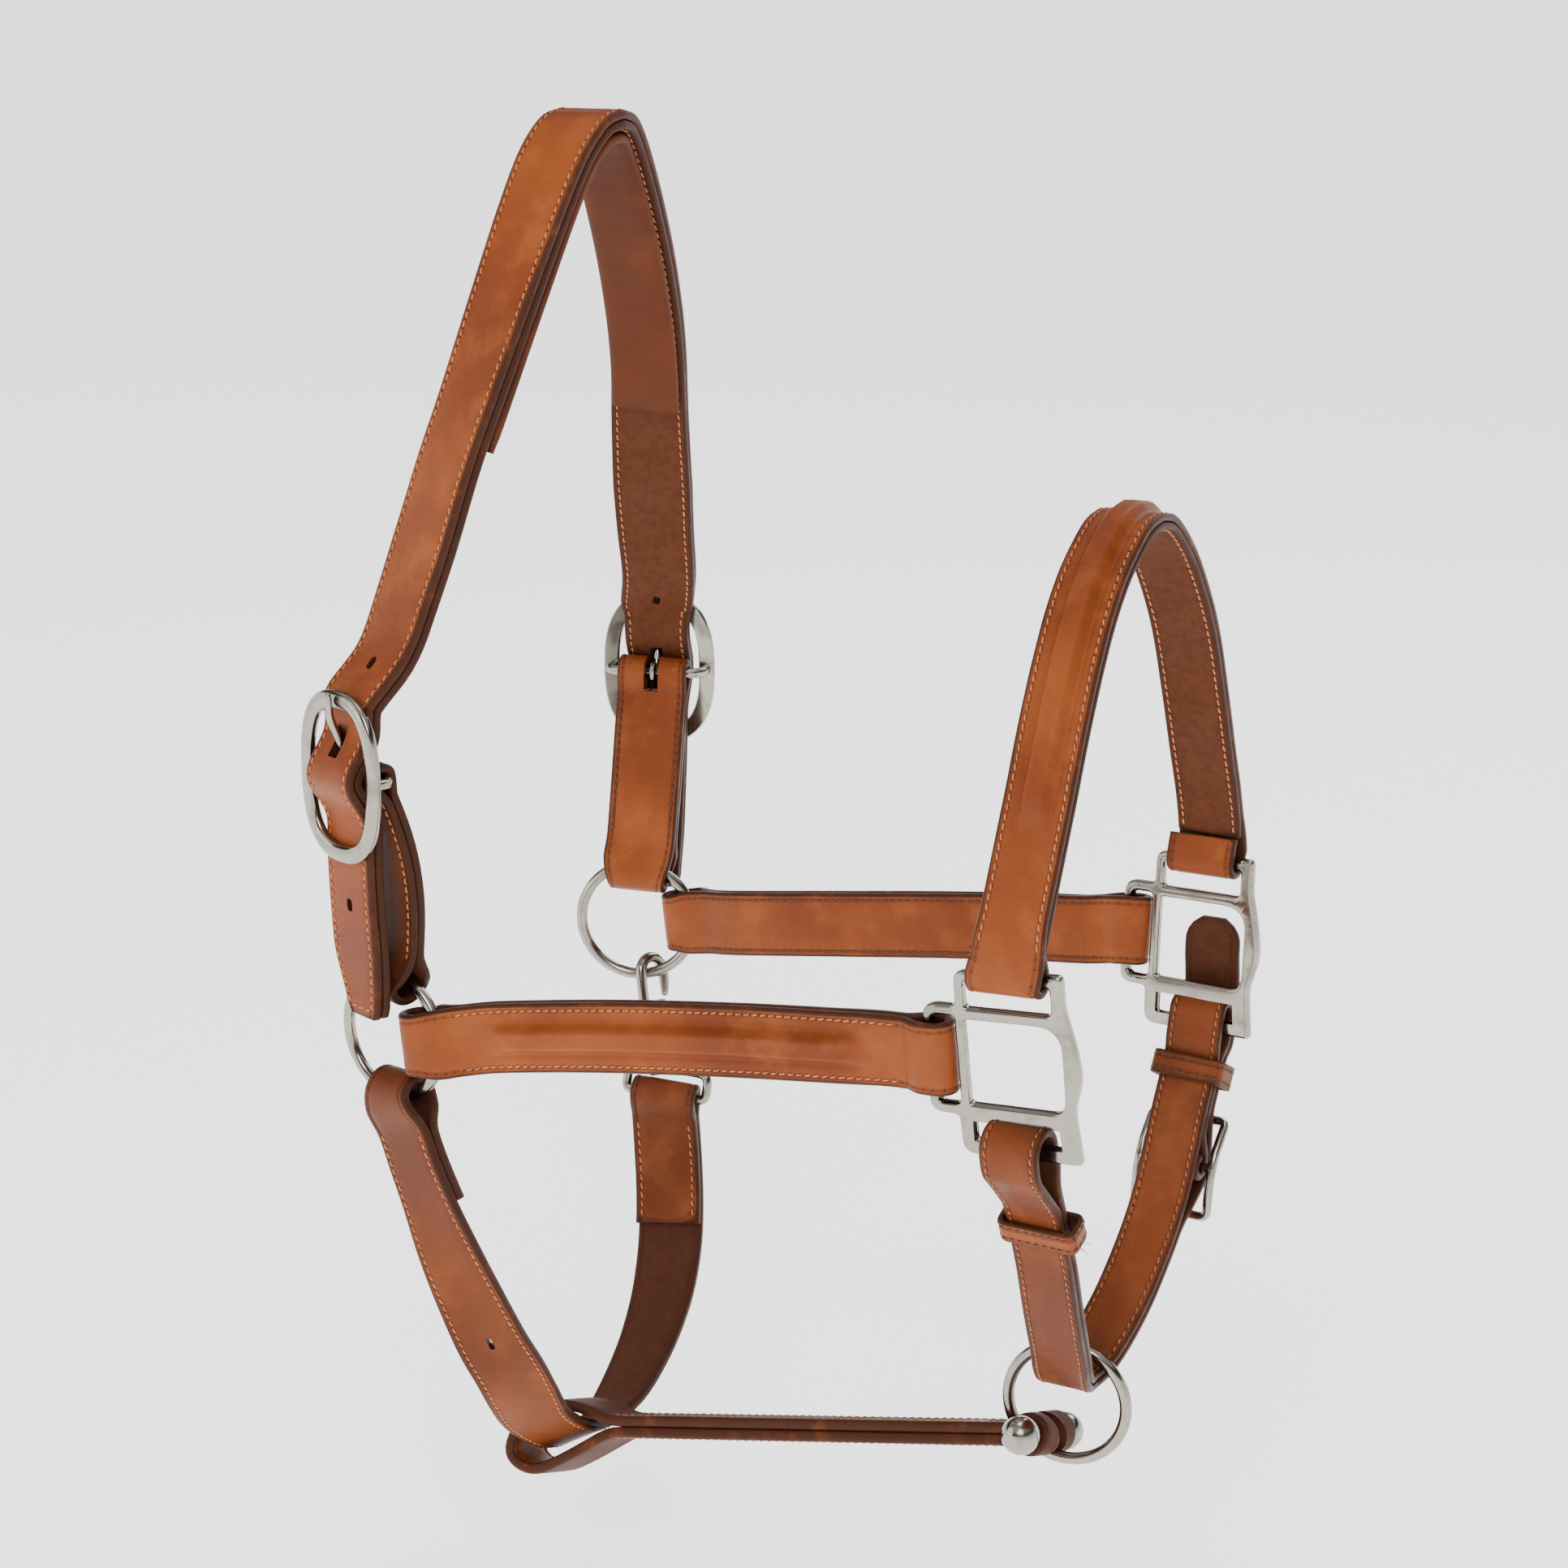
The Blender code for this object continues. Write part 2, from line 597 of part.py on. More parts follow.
# ---- cheek pieces -------------------------------------------------------------------------
def chape(side, looks):
    """A folded strap round a side ring's top and a head buckle's centre bar."""
    spine = chape_spine(side)
    half = CHAPE_PLY / 2 + GAP / 2
    ring_top = spine.near(lambda p: p.z > RING_R)
    bar = spine.near(lambda p: p.z > BUCKLE_Z)
    swell = 5.2 + CHAPE_PLY / 2
    bar_swell = BAR_R + 0.9 + CHAPE_PLY / 2
    joint = 0.45 * ring_top + 0.55 * bar
    lower = fold(joint - GAP, ring_top - CHAPE_REACH[side], half, swell, 15.0)
    upper = fold(joint + GAP, bar + bar_swell, half, bar_swell, 10.0, 0.0, 3.0)
    # from the joint down the inner ply, round the ring, up the outer ply, over the bar, back
    route = lower[:-1] + [(a, half) for a in spread(ring_top + 24.0, bar - 14.0, 12.0)]
    route += upper[::-1][1:]

    def width(a):
        return CHAPE_W - CHAPE_FOLD_NARROW[side] * ease((ring_top + 6.0 - a) / 14.0)

    obj = strap("%s_chape" % side, spine, route, width, CHAPE_PLY, looks["leather_dark"])
    centre, across, out, up = head_buckle_frame(side)
    at_bar = centre + out * (BAR_OUT - BUCKLE_OUT)
    combine(obj, box_bm(at_bar + up * 2.0, across, out, up, (5.6, 16.0, 17.0)), "DIFFERENCE")


def oval(steps):
    """Points and outward normals of a unit oval with slightly squared shoulders."""
    out = []
    for k in range(steps):
        a = 2 * math.pi * (k + 0.5) / steps
        c, s = math.cos(a), math.sin(a)
        u = math.copysign(abs(c) ** (2 / OVAL), c)
        v = math.copysign(abs(s) ** (2 / OVAL), s)
        nu = math.copysign(abs(u) ** (OVAL - 1), u) / BUCKLE_A
        nv = math.copysign(abs(v) ** (OVAL - 1), v) / BUCKLE_B
        out.append((u * BUCKLE_A, v * BUCKLE_B, Vector((nu, nv)).normalized()))
    return out


def buckle_frame(side, looks):
    """An oval frame with a flat back, and a centre bar carried inward on two arms."""
    centre, across, out, up = head_buckle_frame(side)
    half_t = BUCKLE_T / 2
    section = [(-0.5, -half_t), (0.5, -half_t), (0.5, 0.2), (0.28, half_t), (-0.28, half_t),
               (-0.5, 0.2)]
    rings = []
    for u, v, normal in oval(36):
        rings.append([centre + across * (u + normal.x * w * BUCKLE_BAND)
                      + up * (v + normal.y * w * BUCKLE_BAND) + out * h for w, h in section])
    bm = bmesh.new()
    loft(bm, rings, closed=True)
    obj = finish_object("%s_buckle_frame" % side, bm, looks["nickel"])
    inward = BAR_OUT - BUCKLE_OUT
    reach = BAR_REACH
    path = [centre - across * (reach + 0.9) + out * 0.3]
    path += [centre - across * reach + out * (inward + 2.0)]
    path += [centre - across * (reach - 2.0) + out * inward]
    path += [centre + across * (reach - 2.0) + out * inward]
    path += [centre + across * reach + out * (inward + 2.0)]
    path += [centre + across * (reach + 0.9) + out * 0.3]
    bar = bmesh.new()
    tube(bar, path, BAR_R, 10, up)
    combine(obj, bar, "UNION")


def tongue_path(origin, out, up, bar_r, wire, tip_out, tip_up):
    """A wire tongue: hooked round a bar at origin, then straight to its tip."""
    r = bar_r + 0.35 + wire
    hook = [origin + out * (r * math.cos(math.radians(a))) + up * (r * math.sin(math.radians(a)))
            for a in range(-235, 31, 22)]
    tip = origin + out * tip_out + up * tip_up
    start = hook[-1]
    return hook + [start.lerp(tip, 0.25), start.lerp(tip, 0.5), start.lerp(tip, 0.75), tip]


def buckle_tongue(side, looks):
    centre, across, out, up = head_buckle_frame(side)
    wire = 1.45
    bar = centre + out * (BAR_OUT - BUCKLE_OUT)
    tip_out = BUCKLE_OUT - BAR_OUT + BUCKLE_T / 2 + GAP + wire + 0.1
    path = tongue_path(bar, out, up, BAR_R, wire, tip_out - 0.6, BUCKLE_B - 6.0)
    path.append(bar + out * tip_out + up * (BUCKLE_B + 1.6))
    radii = [wire] * (len(path) - 1) + [wire * 0.75]
    bm = bmesh.new()
    tube(bm, path, radii, 8, across)
    finish_object("%s_buckle_tongue" % side, bm, looks["nickel"], put(bar))


def torus(name, centre, normal, radius, wire, look, steps=36, sides=8):
    """A plain ring whose origin is its centre, on the axis that it turns about."""
    normal = Vector(normal).normalized()
    first = normal.orthogonal().normalized()
    second = normal.cross(first)
    rings = []
    for k in range(steps):
        a = 2 * math.pi * k / steps
        radial = first * math.cos(a) + second * math.sin(a)
        ring = []
        for j in range(sides):
            b = 2 * math.pi * j / sides
            ring.append(centre + radial * (radius + wire * math.cos(b))
                        + normal * (wire * math.sin(b)))
        rings.append(ring)
    bm = bmesh.new()
    loft(bm, rings, closed=True)
    return finish_object(name, bm, look, put(centre))


def ring_normal(side):
    s = SIDES[side]
    h = unit(RING_TURN[side], s)
    return Vector((-h.y * s, h.x * s, 0.0)) if s > 0 else Vector((h.y, -h.x, 0.0))


def side_ring(side, looks):
    centre = Vector((0.0, SIDES[side] * SIDE_RING_Y, SIDE_RING_Z[side]))
    torus("%s_ring" % side, centre, ring_normal(side), RING_R, RING_WIRE, looks["nickel"])


def ridge(rise, base, start, end, run=9.0):
    """A section maker: flat faces with a raised centre between two distances along a strap."""
    def section(thick, a, half):
        h = rise * ease((a - start) / run) * ease((end - a) / run)
        top = thick / 2
        shape = [(-half, -top), (-base, -top), (-base * 0.5, -top + h * 0.86),
                 (base * 0.5, -top + h * 0.86), (base, -top), (half, -top)]
        over = [(half, top), (base, top), (base * 0.55, top + h), (-base * 0.55, top + h),
                (-base, top), (-half, top)]
        return shape + over
    return section


def cheek(side, looks):
    """A strip folded round a side ring's front and a square's rear bar, raised on its face."""
    spine = cheek_spine(side)
    s = SIDES[side]
    half = CHEEK_PLY / 2 + GAP / 2
    ring = spine.near(lambda p: p.x > RING_R * RING_REACH)
    swell = 4.0 + CHEEK_PLY / 2
    bar_p = -29.25
    bar_x = square_point(s, bar_p, 1.0).x
    bar = spine.near(lambda p: p.x > bar_x)
    bar_swell = SQUARE_T / 2 + 0.5 + CHEEK_PLY / 2
    joint = bar - 17.0
    rear = fold(joint - GAP, ring - CHEEK_END[side], half, swell, 16.0, 3.0)
    front = fold(joint + GAP, bar + 7.0, half, bar_swell, 7.0, 5.2, 2.4)
    start, end = ring + 22.0, bar - 24.0
    section_of = ridge(CHEEK_RISE, 5.8, start, end)
    middle = [(a, half) for a in spread(start - 4.0, end + 4.0, 11.0)]
    route = rear[:-1] + middle + front[::-1][1:]
    first = len(rear) - 1

    def width(a):
        return CHEEK_W - CHEEK_FOLD_NARROW * ease((ring + 3.0 - a) / 9.0)

    def section(i, a, half_w):
        raised = first <= i < first + len(middle)
        return section_of(CHEEK_PLY, a if raised else -1e6, half_w)

    strap("%s_cheek_strap" % side, spine, route, width, CHEEK_PLY, looks["leather"], section)

    def core(i, a, half_w):
        h = max(0.25, (CHEEK_RISE - 0.7) * ease((a - start) / 9.0) * ease((end - a) / 9.0))
        return [(-half_w, 0.0), (half_w, 0.0), (half_w * 0.5, h * 0.86), (-half_w * 0.5, h * 0.86)]

    inner = [(a, GAP / 2 + 0.3) for a in spread(start + 7.0, end - 7.0, 11.0)]
    strap("%s_cheek_core" % side, spine, inner, 2 * 2.5, 0.0, looks["cord"], core)


# ---- noseband -----------------------------------------------------------------------------
def nose_width(spine):
    def width(a):
        edge = min(a, spine.length - a)
        return NOSE_W + 2.2 * ease((18.0 - edge) / 18.0)
    return width


def noseband(spine, looks):
    """The outer strap folds round each square's top bar; the lining covers its inside."""
    width = nose_width(spine)
    end = spine.length
    outer_b = -NOSE_PLY / 2
    start, stop = 44.0, end - 44.0
    section_of = ridge(NOSE_RISE, 6.0, start, stop, 11.0)
    flat = [(a, outer_b) for a in spread(0.0, end, 8.0)]
    loops = {}
    for side, s in SIDES.items():
        loops[side] = nose_loop(spine, s)
    bm = bmesh.new()
    rings = loops["off"] + strap_rings(spine, flat, width, NOSE_PLY,
                                       lambda i, a, h: section_of(NOSE_PLY, a, h))
    loft(bm, rings + loops["near"][::-1])
    finish_object("noseband_strap", bm, looks["leather"])
    low = -NOSE_PLY - GAP - NOSE_PLY / 2
    lining = [(a, low) for a in spread(7.0, end - 7.0, 8.0)]
    strap("noseband_lining", spine, lining, NOSE_W, NOSE_PLY, looks["flesh"])

    def core(i, a, half_w):
        h = max(0.25, (NOSE_RISE - 0.7) * ease((a - start) / 11.0) * ease((stop - a) / 11.0))
        return [(-half_w, 0.0), (half_w, 0.0), (half_w * 0.5, h * 0.86), (-half_w * 0.5, h * 0.86)]

    inner = [(a, -NOSE_PLY) for a in spread(start + 8.0, stop - 8.0, 9.0)]
    strap("noseband_core", spine, inner, 2 * 2.6, 0.0, looks["cord"], core)


def nose_loop(spine, s):
    """Sections of the noseband's end folded round a square's top bar, free end first."""
    a_end = spine.length if s > 0 else 0.0
    p, w, n = spine.at(a_end)
    bar = square_point(s, -0.3, 29.9)
    forward, outward, up = square_axes(s)
    r = SQUARE_T / 2 + 0.6 + NOSE_PLY / 2
    path = [bar + up * 9.2 - outward * 2.0, bar + up * 5.0 - outward * 3.2]
    path += [bar - outward * (r * math.cos(math.radians(k))) - up * (r * math.sin(math.radians(k)))
             for k in range(0, 181, 30)]
    half = 0.5 * (NOSE_W + 2.2)
    rings = []
    ends = path + [p - n * (NOSE_PLY / 2)]
    for i in range(len(path)):
        t = (ends[i + 1] - ends[max(i - 1, 0)]).normalized()
        wide = forward - forward.dot(t) * t
        wide.normalize()
        normal = (t.cross(wide) * s).normalized()
        top = NOSE_PLY / 2
        flat = [(-1, -1), (-0.47, -1), (-0.23, -1), (0.23, -1), (0.47, -1), (1, -1),
                (1, 1), (0.47, 1), (0.23, 1), (-0.23, 1), (-0.47, 1), (-1, 1)]
        rings.append([path[i] + wide * (u * half) + normal * (v * top) for u, v in flat])
    return rings


# ---- squares ------------------------------------------------------------------------------
# the casting's outer edge, anticlockwise from the rear slot's foot: forward, up, corner radius
SQUARE_OUTLINE = [
    (-30.9, -19.0, 6.0), (-20.6, -19.3, 1.5), (-20.2, -32.9, 5.0), (22.0, -32.9, 0.8),
    (21.0, -22.0, 3.0), (20.4, -14.0, 3.0), (23.9, -3.0, 6.0), (22.4, 8.0, 4.0),
    (19.4, 21.0, 3.0), (19.4, 32.6, 3.0), (14.4, 32.6, 2.0), (14.4, 31.7, 0.5),
    (-18.9, 31.7, 4.5), (-18.9, 19.4, 1.5), (-30.9, 19.4, 6.0),
]
# its window, and the slots above, behind and below it
SQUARE_HOLES = [
    [(-16.3, -15.0, 1.0), (17.4, -15.3, 5.0), (17.6, 14.6, 9.0), (-16.3, 14.6, 1.0)],
    [(-15.6, 18.8, 0.6), (14.8, 18.8, 0.6), (14.8, 28.3, 0.6), (-15.6, 28.3, 0.6)],
    [(-27.6, -15.2, 2.5), (-19.6, -15.2, 0.6), (-19.6, 15.5, 0.6), (-27.6, 15.5, 2.5)],
    [(-16.9, -19.4, 0.6), (16.2, -19.6, 0.6), (17.2, -29.6, 0.6), (-16.9, -29.6, 2.5)],
]


def square(side, looks):
    """A three-slot square fitting: slots above, behind and below an open window."""
    s = SIDES[side]

    def place(u, v, h):
        return square_point(s, u, v, h)

    half = SQUARE_T / 2
    obj = finish_object("%s_square" % side, plate_bm(rounded(SQUARE_OUTLINE), place, -half, half),
                        looks["nickel"])
    for hole in SQUARE_HOLES:
        combine(obj, plate_bm(rounded(hole), place, -half - 1.0, half + 1.0), "DIFFERENCE")


# ---- chin strap ---------------------------------------------------------------------------
def chin_layers():
    run = CHIN_PLY / 2 + GAP / 2
    return run, run + CHIN_PLY + GAP


def chin_buckle_place(spine):
    """Distance along the chin route of the chin buckle's centre bar."""
    return spine.near(lambda p: p.z > -46.0, spine.length / 2)


def chin_path(spine):
    """The chin strap's (distance, height) points: from its buckle up over the near square's
    foot bar, down inside, through the chin ring, over the off square's foot bar, back through
    the ring and up to its tip. Also the distance of its tip."""
    run, tip_b = chin_layers()
    bar_a = chin_buckle_place(spine)
    foot = {side: square_point(s, 0.0, -31.2) for side, s in SIDES.items()}
    off_a = spine.near(lambda p: p.z < foot["off"].z)
    near_a = spine.near(lambda p: p.z > foot["near"].z, spine.length / 2)
    hook_r = 1.7 + 0.5 + CHIN_PLY / 2
    near_r, off_out, off_in = 4.8, 9.6, 4.9
    lift = CHIN_BUCKLE_OUT
    # the chape: tucked behind the buckle's bar, round it, and up to the near foot bar
    path = [(bar_a - hook_r * math.cos(math.radians(k)), lift + hook_r * math.sin(math.radians(k)))
            for k in range(-150, 91, 30)]
    path += [(bar_a + d, run + (lift + hook_r - run) * ease((13.0 - d) / 11.0))
             for d in (4.0, 6.5, 9.0, 11.5, 14.0)]
    path += [(a, run) for a in spread(bar_a + 20.0, near_a - 14.0, 9.0)]
    path += [(near_a - d, run + (near_r - run) * ease((11.0 - d) / 8.0))
             for d in (11.0, 9.0, 7.0, 5.0, 3.0)]
    path += [(near_a + 5.0 + near_r * math.sin(math.radians(k)), near_r * math.cos(math.radians(k)))
             for k in range(0, 181, 30)]
    path += [(near_a - d, -run - (near_r - run) * ease((14.0 - d) / 11.0))
             for d in (3.0, 6.0, 9.0, 12.0, 15.0)]
    path += [(a, -run) for a in spread(near_a - 24.0, off_a + 26.0, 7.5)]
    # the loose loop over the off foot bar
    middle_b = 0.5 * (off_out - off_in)
    loop_r = 0.5 * (off_out + off_in)
    path += [(off_a + d, -run - (off_in - run) * ease((17.0 - d) / 14.0))
             for d in (17.0, 14.0, 10.5, 7.0, 3.0)]
    path += [(off_a - 2.4 - loop_r * math.cos(math.radians(k)),
              middle_b + loop_r * math.sin(math.radians(k))) for k in range(-90, 91, 30)]
    path += [(off_a + d, run + (off_out - run) * ease((25.0 - d) / 19.0))
             for d in (3.0, 7.0, 12.0, 16.0, 20.0, 25.0)]
    path += [(a, run) for a in spread(off_a + 36.0, bar_a - 27.0, 7.5)]
    # the billet: behind the frame's foot, over its bar, behind its head, outside the square
    crest = lift + hook_r + CHIN_PLY + GAP + 0.1
    for d in (-22.0, -18.0, -14.0, -10.0, -6.0, -2.0, 2.0, 6.0, 10.0, 14.0, 18.0, 22.0):
        low, reach = (run, 25.0) if d < 0 else (tip_b, 24.0)
        path.append((bar_a + d, low + (crest - low) * ease((reach - abs(d)) / reach)))
    out = near_r + CHIN_PLY + GAP + 0.1
    path += [(a, tip_b) for a in spread(bar_a + 28.0, near_a - 13.0, 8.0)]
    path += [(near_a + d, tip_b + (out - tip_b) * ease((d + 11.0) / 8.0))
             for d in (-9.0, -7.0, -5.0, -3.0, 3.0, 10.0)]
    path += [(near_a + d, tip_b + (out - tip_b) * ease((30.0 - d) / 20.0))
             for d in (18.0, 25.0, 32.0, 39.5)]
    return path, near_a + 39.5


def chin(spine, looks):
    """One strap that makes a double run through both squares and the chin ring."""
    path = chin_path(spine)[0]
    ring_a = 0.5 * spine.length

    def width(a):
        return CHIN_W - CHIN_PINCH * ease(1.0 - abs(a - ring_a) / 16.0)

    obj = strap("chin_strap", spine, path, width, CHIN_PLY, looks["leather"])
    p, w, n = spine.at(chin_buckle_place(spine))
    t = n.cross(w)
    t = t if t.z > 0 else -t
    bar = p + n * CHIN_BUCKLE_OUT
    combine(obj, box_bm(bar + n * 0.7 - t * 2.4, w, n, t, (5.0, 12.6, 13.6)), "DIFFERENCE")
    hole = bar - t * 10.6 + n * 5.6
    lean = (t * -0.9 + n * 0.34).normalized()
    combine(obj, box_bm(hole, w, lean.cross(w), lean, (4.4, 7.0, 17.4)), "DIFFERENCE")


def chin_buckle(spine, looks):
    """A rectangular frame with a centre bar, and a tongue that points down."""
    bar_a = chin_buckle_place(spine)
    p, w, n = spine.at(bar_a)
    t = n.cross(w)
    t = t if t.z > 0 else -t
    wire = 1.7
    centre = p + n * CHIN_BUCKLE_OUT
    half_w, half_h = CHIN_BUCKLE_HALF
    lift = CHIN_BUCKLE_LIFT
    corners = [(-half_w, -half_h, 3.0), (half_w, -half_h, 3.0), (half_w, -6.0, 0.0),
               (half_w, 0.0, 0.0), (half_w, 6.0, 0.0), (half_w, half_h, 3.0),
               (-half_w, half_h, 3.0), (-half_w, 6.0, 0.0), (-half_w, 0.0, 0.0),
               (-half_w, -6.0, 0.0)]
    rings = []
    loop = rounded(corners, 3)
    sides = 8
    n_pts = len(loop)
    for i, (u, v) in enumerate(loop):
        a, b = Vector(loop[i - 1]), Vector(loop[(i + 1) % n_pts])
        d = (b - a).normalized()
        normal = Vector((d.y, -d.x))
        high = lift * (abs(v) / half_h) ** 2
        ring = []
        for k in range(sides):
            ang = 2 * math.pi * k / sides
            off = normal * (wire * math.cos(ang))
            ring.append(centre + w * (u + off.x) + t * (v + off.y)
                        + n * (high + wire * math.sin(ang)))
        rings.append(ring)
    bm = bmesh.new()
    loft(bm, rings, closed=True)
    obj = finish_object("chin_buckle_frame", bm, looks["nickel"])
    bar = bmesh.new()
    tube(bar, [centre - w * (half_w + 0.6), centre + w * (half_w + 0.6)], wire - 0.05, 8, t)
    combine(obj, bar, "UNION")
    thin = 1.25
    path = tongue_path(centre, n, -t, wire, thin, lift + wire + thin + GAP + 0.1, half_h + 1.0)
    bm = bmesh.new()
    tube(bm, path, [thin] * (len(path) - 1) + [thin * 0.75], 8, w)
    finish_object("chin_buckle_tongue", bm, looks["nickel"], put(centre))


def keeper(name, spine, a, low, high, width, shift, looks):
    """A closed leather band round the chin strap's runs between two heights."""
    p, w, n = spine.at(a)
    t = n.cross(w).normalized()
    thick, deep, slack = 2.0, 9.0, 0.8
    half_w = 0.5 * (width - thick)
    bottom, top = low - slack - thick / 2, high + slack + thick / 2
    loop = rounded([(shift - half_w, bottom, 2.6), (shift + half_w, bottom, 2.6),
                    (shift + half_w, top, 2.6), (shift - half_w, top, 2.6)], 3)
    rings = []
    count = len(loop)
    for i, (u, v) in enumerate(loop):
        d = (Vector(loop[(i + 1) % count]) - Vector(loop[i - 1])).normalized()
        out = Vector((d.y, -d.x)) * (thick / 2)
        rings.append([p + w * (u + side * out.x) + n * (v + side * out.y) + t * (along * deep)
                      for side, along in ((-1, -0.5), (1, -0.5), (1, 0.5), (-1, 0.5))])
    bm = bmesh.new()
    loft(bm, rings, closed=True)
    finish_object(name, bm, looks["leather_dark"], put(p))


def keeper_places(spine):
    """Each keeper's name, distance, lower and upper heights, width and shift forward."""
    run, tip_b = chin_layers()
    ply = CHIN_PLY / 2
    off_a = spine.near(lambda p: p.z < OFF_KEEPER_Z)
    near_a = spine.near(lambda p: p.z > NEAR_KEEPER_Z, spine.length / 2)
    return [("off_chin_keeper", off_a, -run - ply, run + ply, 28.6, 1.2),
            ("near_chin_keeper", near_a, -run - ply - 0.3, tip_b + ply + 0.5, 27.6, 0.0)]


# ---- joining strap, bolt and throat strap -------------------------------------------------
def join_spine():
    rear, front, along, across = join_frame()
    points = [rear + along * d for d in spread(-50.0, (front - rear).length + 12.0, 12.0)]
    return Spine(points, [across] * len(points), 1.0)


def join_route(gap):
    """The joining strap's points, with its plies and its ends that far apart: a slanting loop
    round the throat strap behind and one round the bolt in front. Also its half height."""
    rear, front, along, across = join_frame()
    half = JOIN_PLY / 2 + gap / 2
    bolt_a = 50.0 + (front - rear).length
    bolt_swell = BOLT_R + 0.5 + JOIN_PLY / 2
    joint = 130.0
    loop = [(joint - gap, half), (75.0, half), (57.0, half), (50.0, half + 0.9),
            (44.0, half + 3.3), (36.0, 7.4), (26.0, 7.4), (16.5, 3.6), (10.0, -2.4),
            (7.4, -8.6), (9.2, -13.2), (15.0, -16.2), (22.0, -16.1), (32.0, -12.2),
            (42.0, -7.4), (50.0, -3.6), (57.0, -half), (75.0, -half)]
    front_loop = fold(joint + gap, bolt_a + bolt_swell, half, bolt_swell, 12.0, 0.0, 4.0)
    return loop + front_loop, half


def joining_strap(looks):
    """Two plies of thick leather, slotted in front for the chin ring."""
    spine = join_spine()
    rear, front, along, across = join_frame()
    route = join_route(GAP)[0]
    obj = strap("joining_strap", spine, route, JOIN_W, JOIN_PLY, looks["leather"])
    # a slot for the chin ring, in the ring's own plane
    turn = unit(CHIN_RING_TURN)
    normal = Vector((-turn.y, turn.x, 0.0))
    middle = front - normal * (front - CHIN_RING).dot(normal)
    up = Vector((0.0, 0.0, 1.0))
    combine(obj, box_bm(middle - turn * 4.0, turn, normal, up, (34.0, 6.4, 34.0)), "DIFFERENCE")


def chin_bolt(looks):
    """A straight shank with a ball at each end; the chin ring hangs round its middle."""
    rear, front, along, across = join_frame()
    half = JOIN_W / 2 + 0.6
    profile = [(-half - BOLT_BALL_R * (1.0 + BALL_SET), 0.6)]
    for k in range(150, 25, -20):
        a = math.radians(k)
        profile.append((-half - BOLT_BALL_R * BALL_SET + BOLT_BALL_R * math.cos(a),
                        BOLT_BALL_R * math.sin(a)))
    profile.append((-half + 0.1, BOLT_R))
    whole = profile + [(-x, r) for x, r in profile[::-1]]
    points = [front + across * x for x, _ in whole]
    bm = bmesh.new()
    tube(bm, points, [r for _, r in whole], 12, along)
    finish_object("chin_bolt", bm, looks["nickel"])


def throat(spine, looks):
    """A strap that hooks the off ring with a long stitched fold and the snap with another.
    Both ends are folded to the inside of the strap."""
    half = THROAT_PLY / 2 + GAP / 2
    ring_a = spine.near(lambda p: p.z < -RING_R)
    swell = 4.6 + THROAT_PLY / 2
    off = fold(ring_a + 42.0, ring_a - 7.6, half, swell, 17.0)
    d_a = spine.length - 6.0
    d_swell = 1.9 + 0.5 + THROAT_PLY / 2
    near = fold(d_a - 54.0, d_a + d_swell, half, d_swell, 10.0)
    middle = [(a, half) for a in spread(ring_a + 30.0, d_a - 20.0, 8.0)]
    route = off[:-1] + middle + near[::-1][1:]

    def width(a):
        return THROAT_W - THROAT_FOLD_NARROW * ease((ring_a + 8.0 - a) / 14.0)

    strap("throat_strap", spine, route, width, THROAT_PLY, looks["leather"])


# ---- snap ---------------------------------------------------------------------------------
def snap_frame(spine):
    """The snap's hook centre on the near ring, its upward direction, the direction from its
    shank to its nose, and the hinge direction."""
    s = 1.0
    h = unit(RING_TURN["near"], s)
    a = math.radians(15.0)
    centre = Vector((0.0, SIDE_RING_Y, 0.0)) + h * (RING_R * math.sin(a))
    centre.z = SIDE_RING_Z["near"] - RING_R * math.cos(a)
    d_bar, w, n = spine.at(spine.length - 6.0)
    up = (centre - d_bar).normalized()
    toward = unit(78.0, 1.0)
    toward = (toward - toward.dot(up) * up).normalized()
    return centre, d_bar, w, n, up, toward, up.cross(toward)


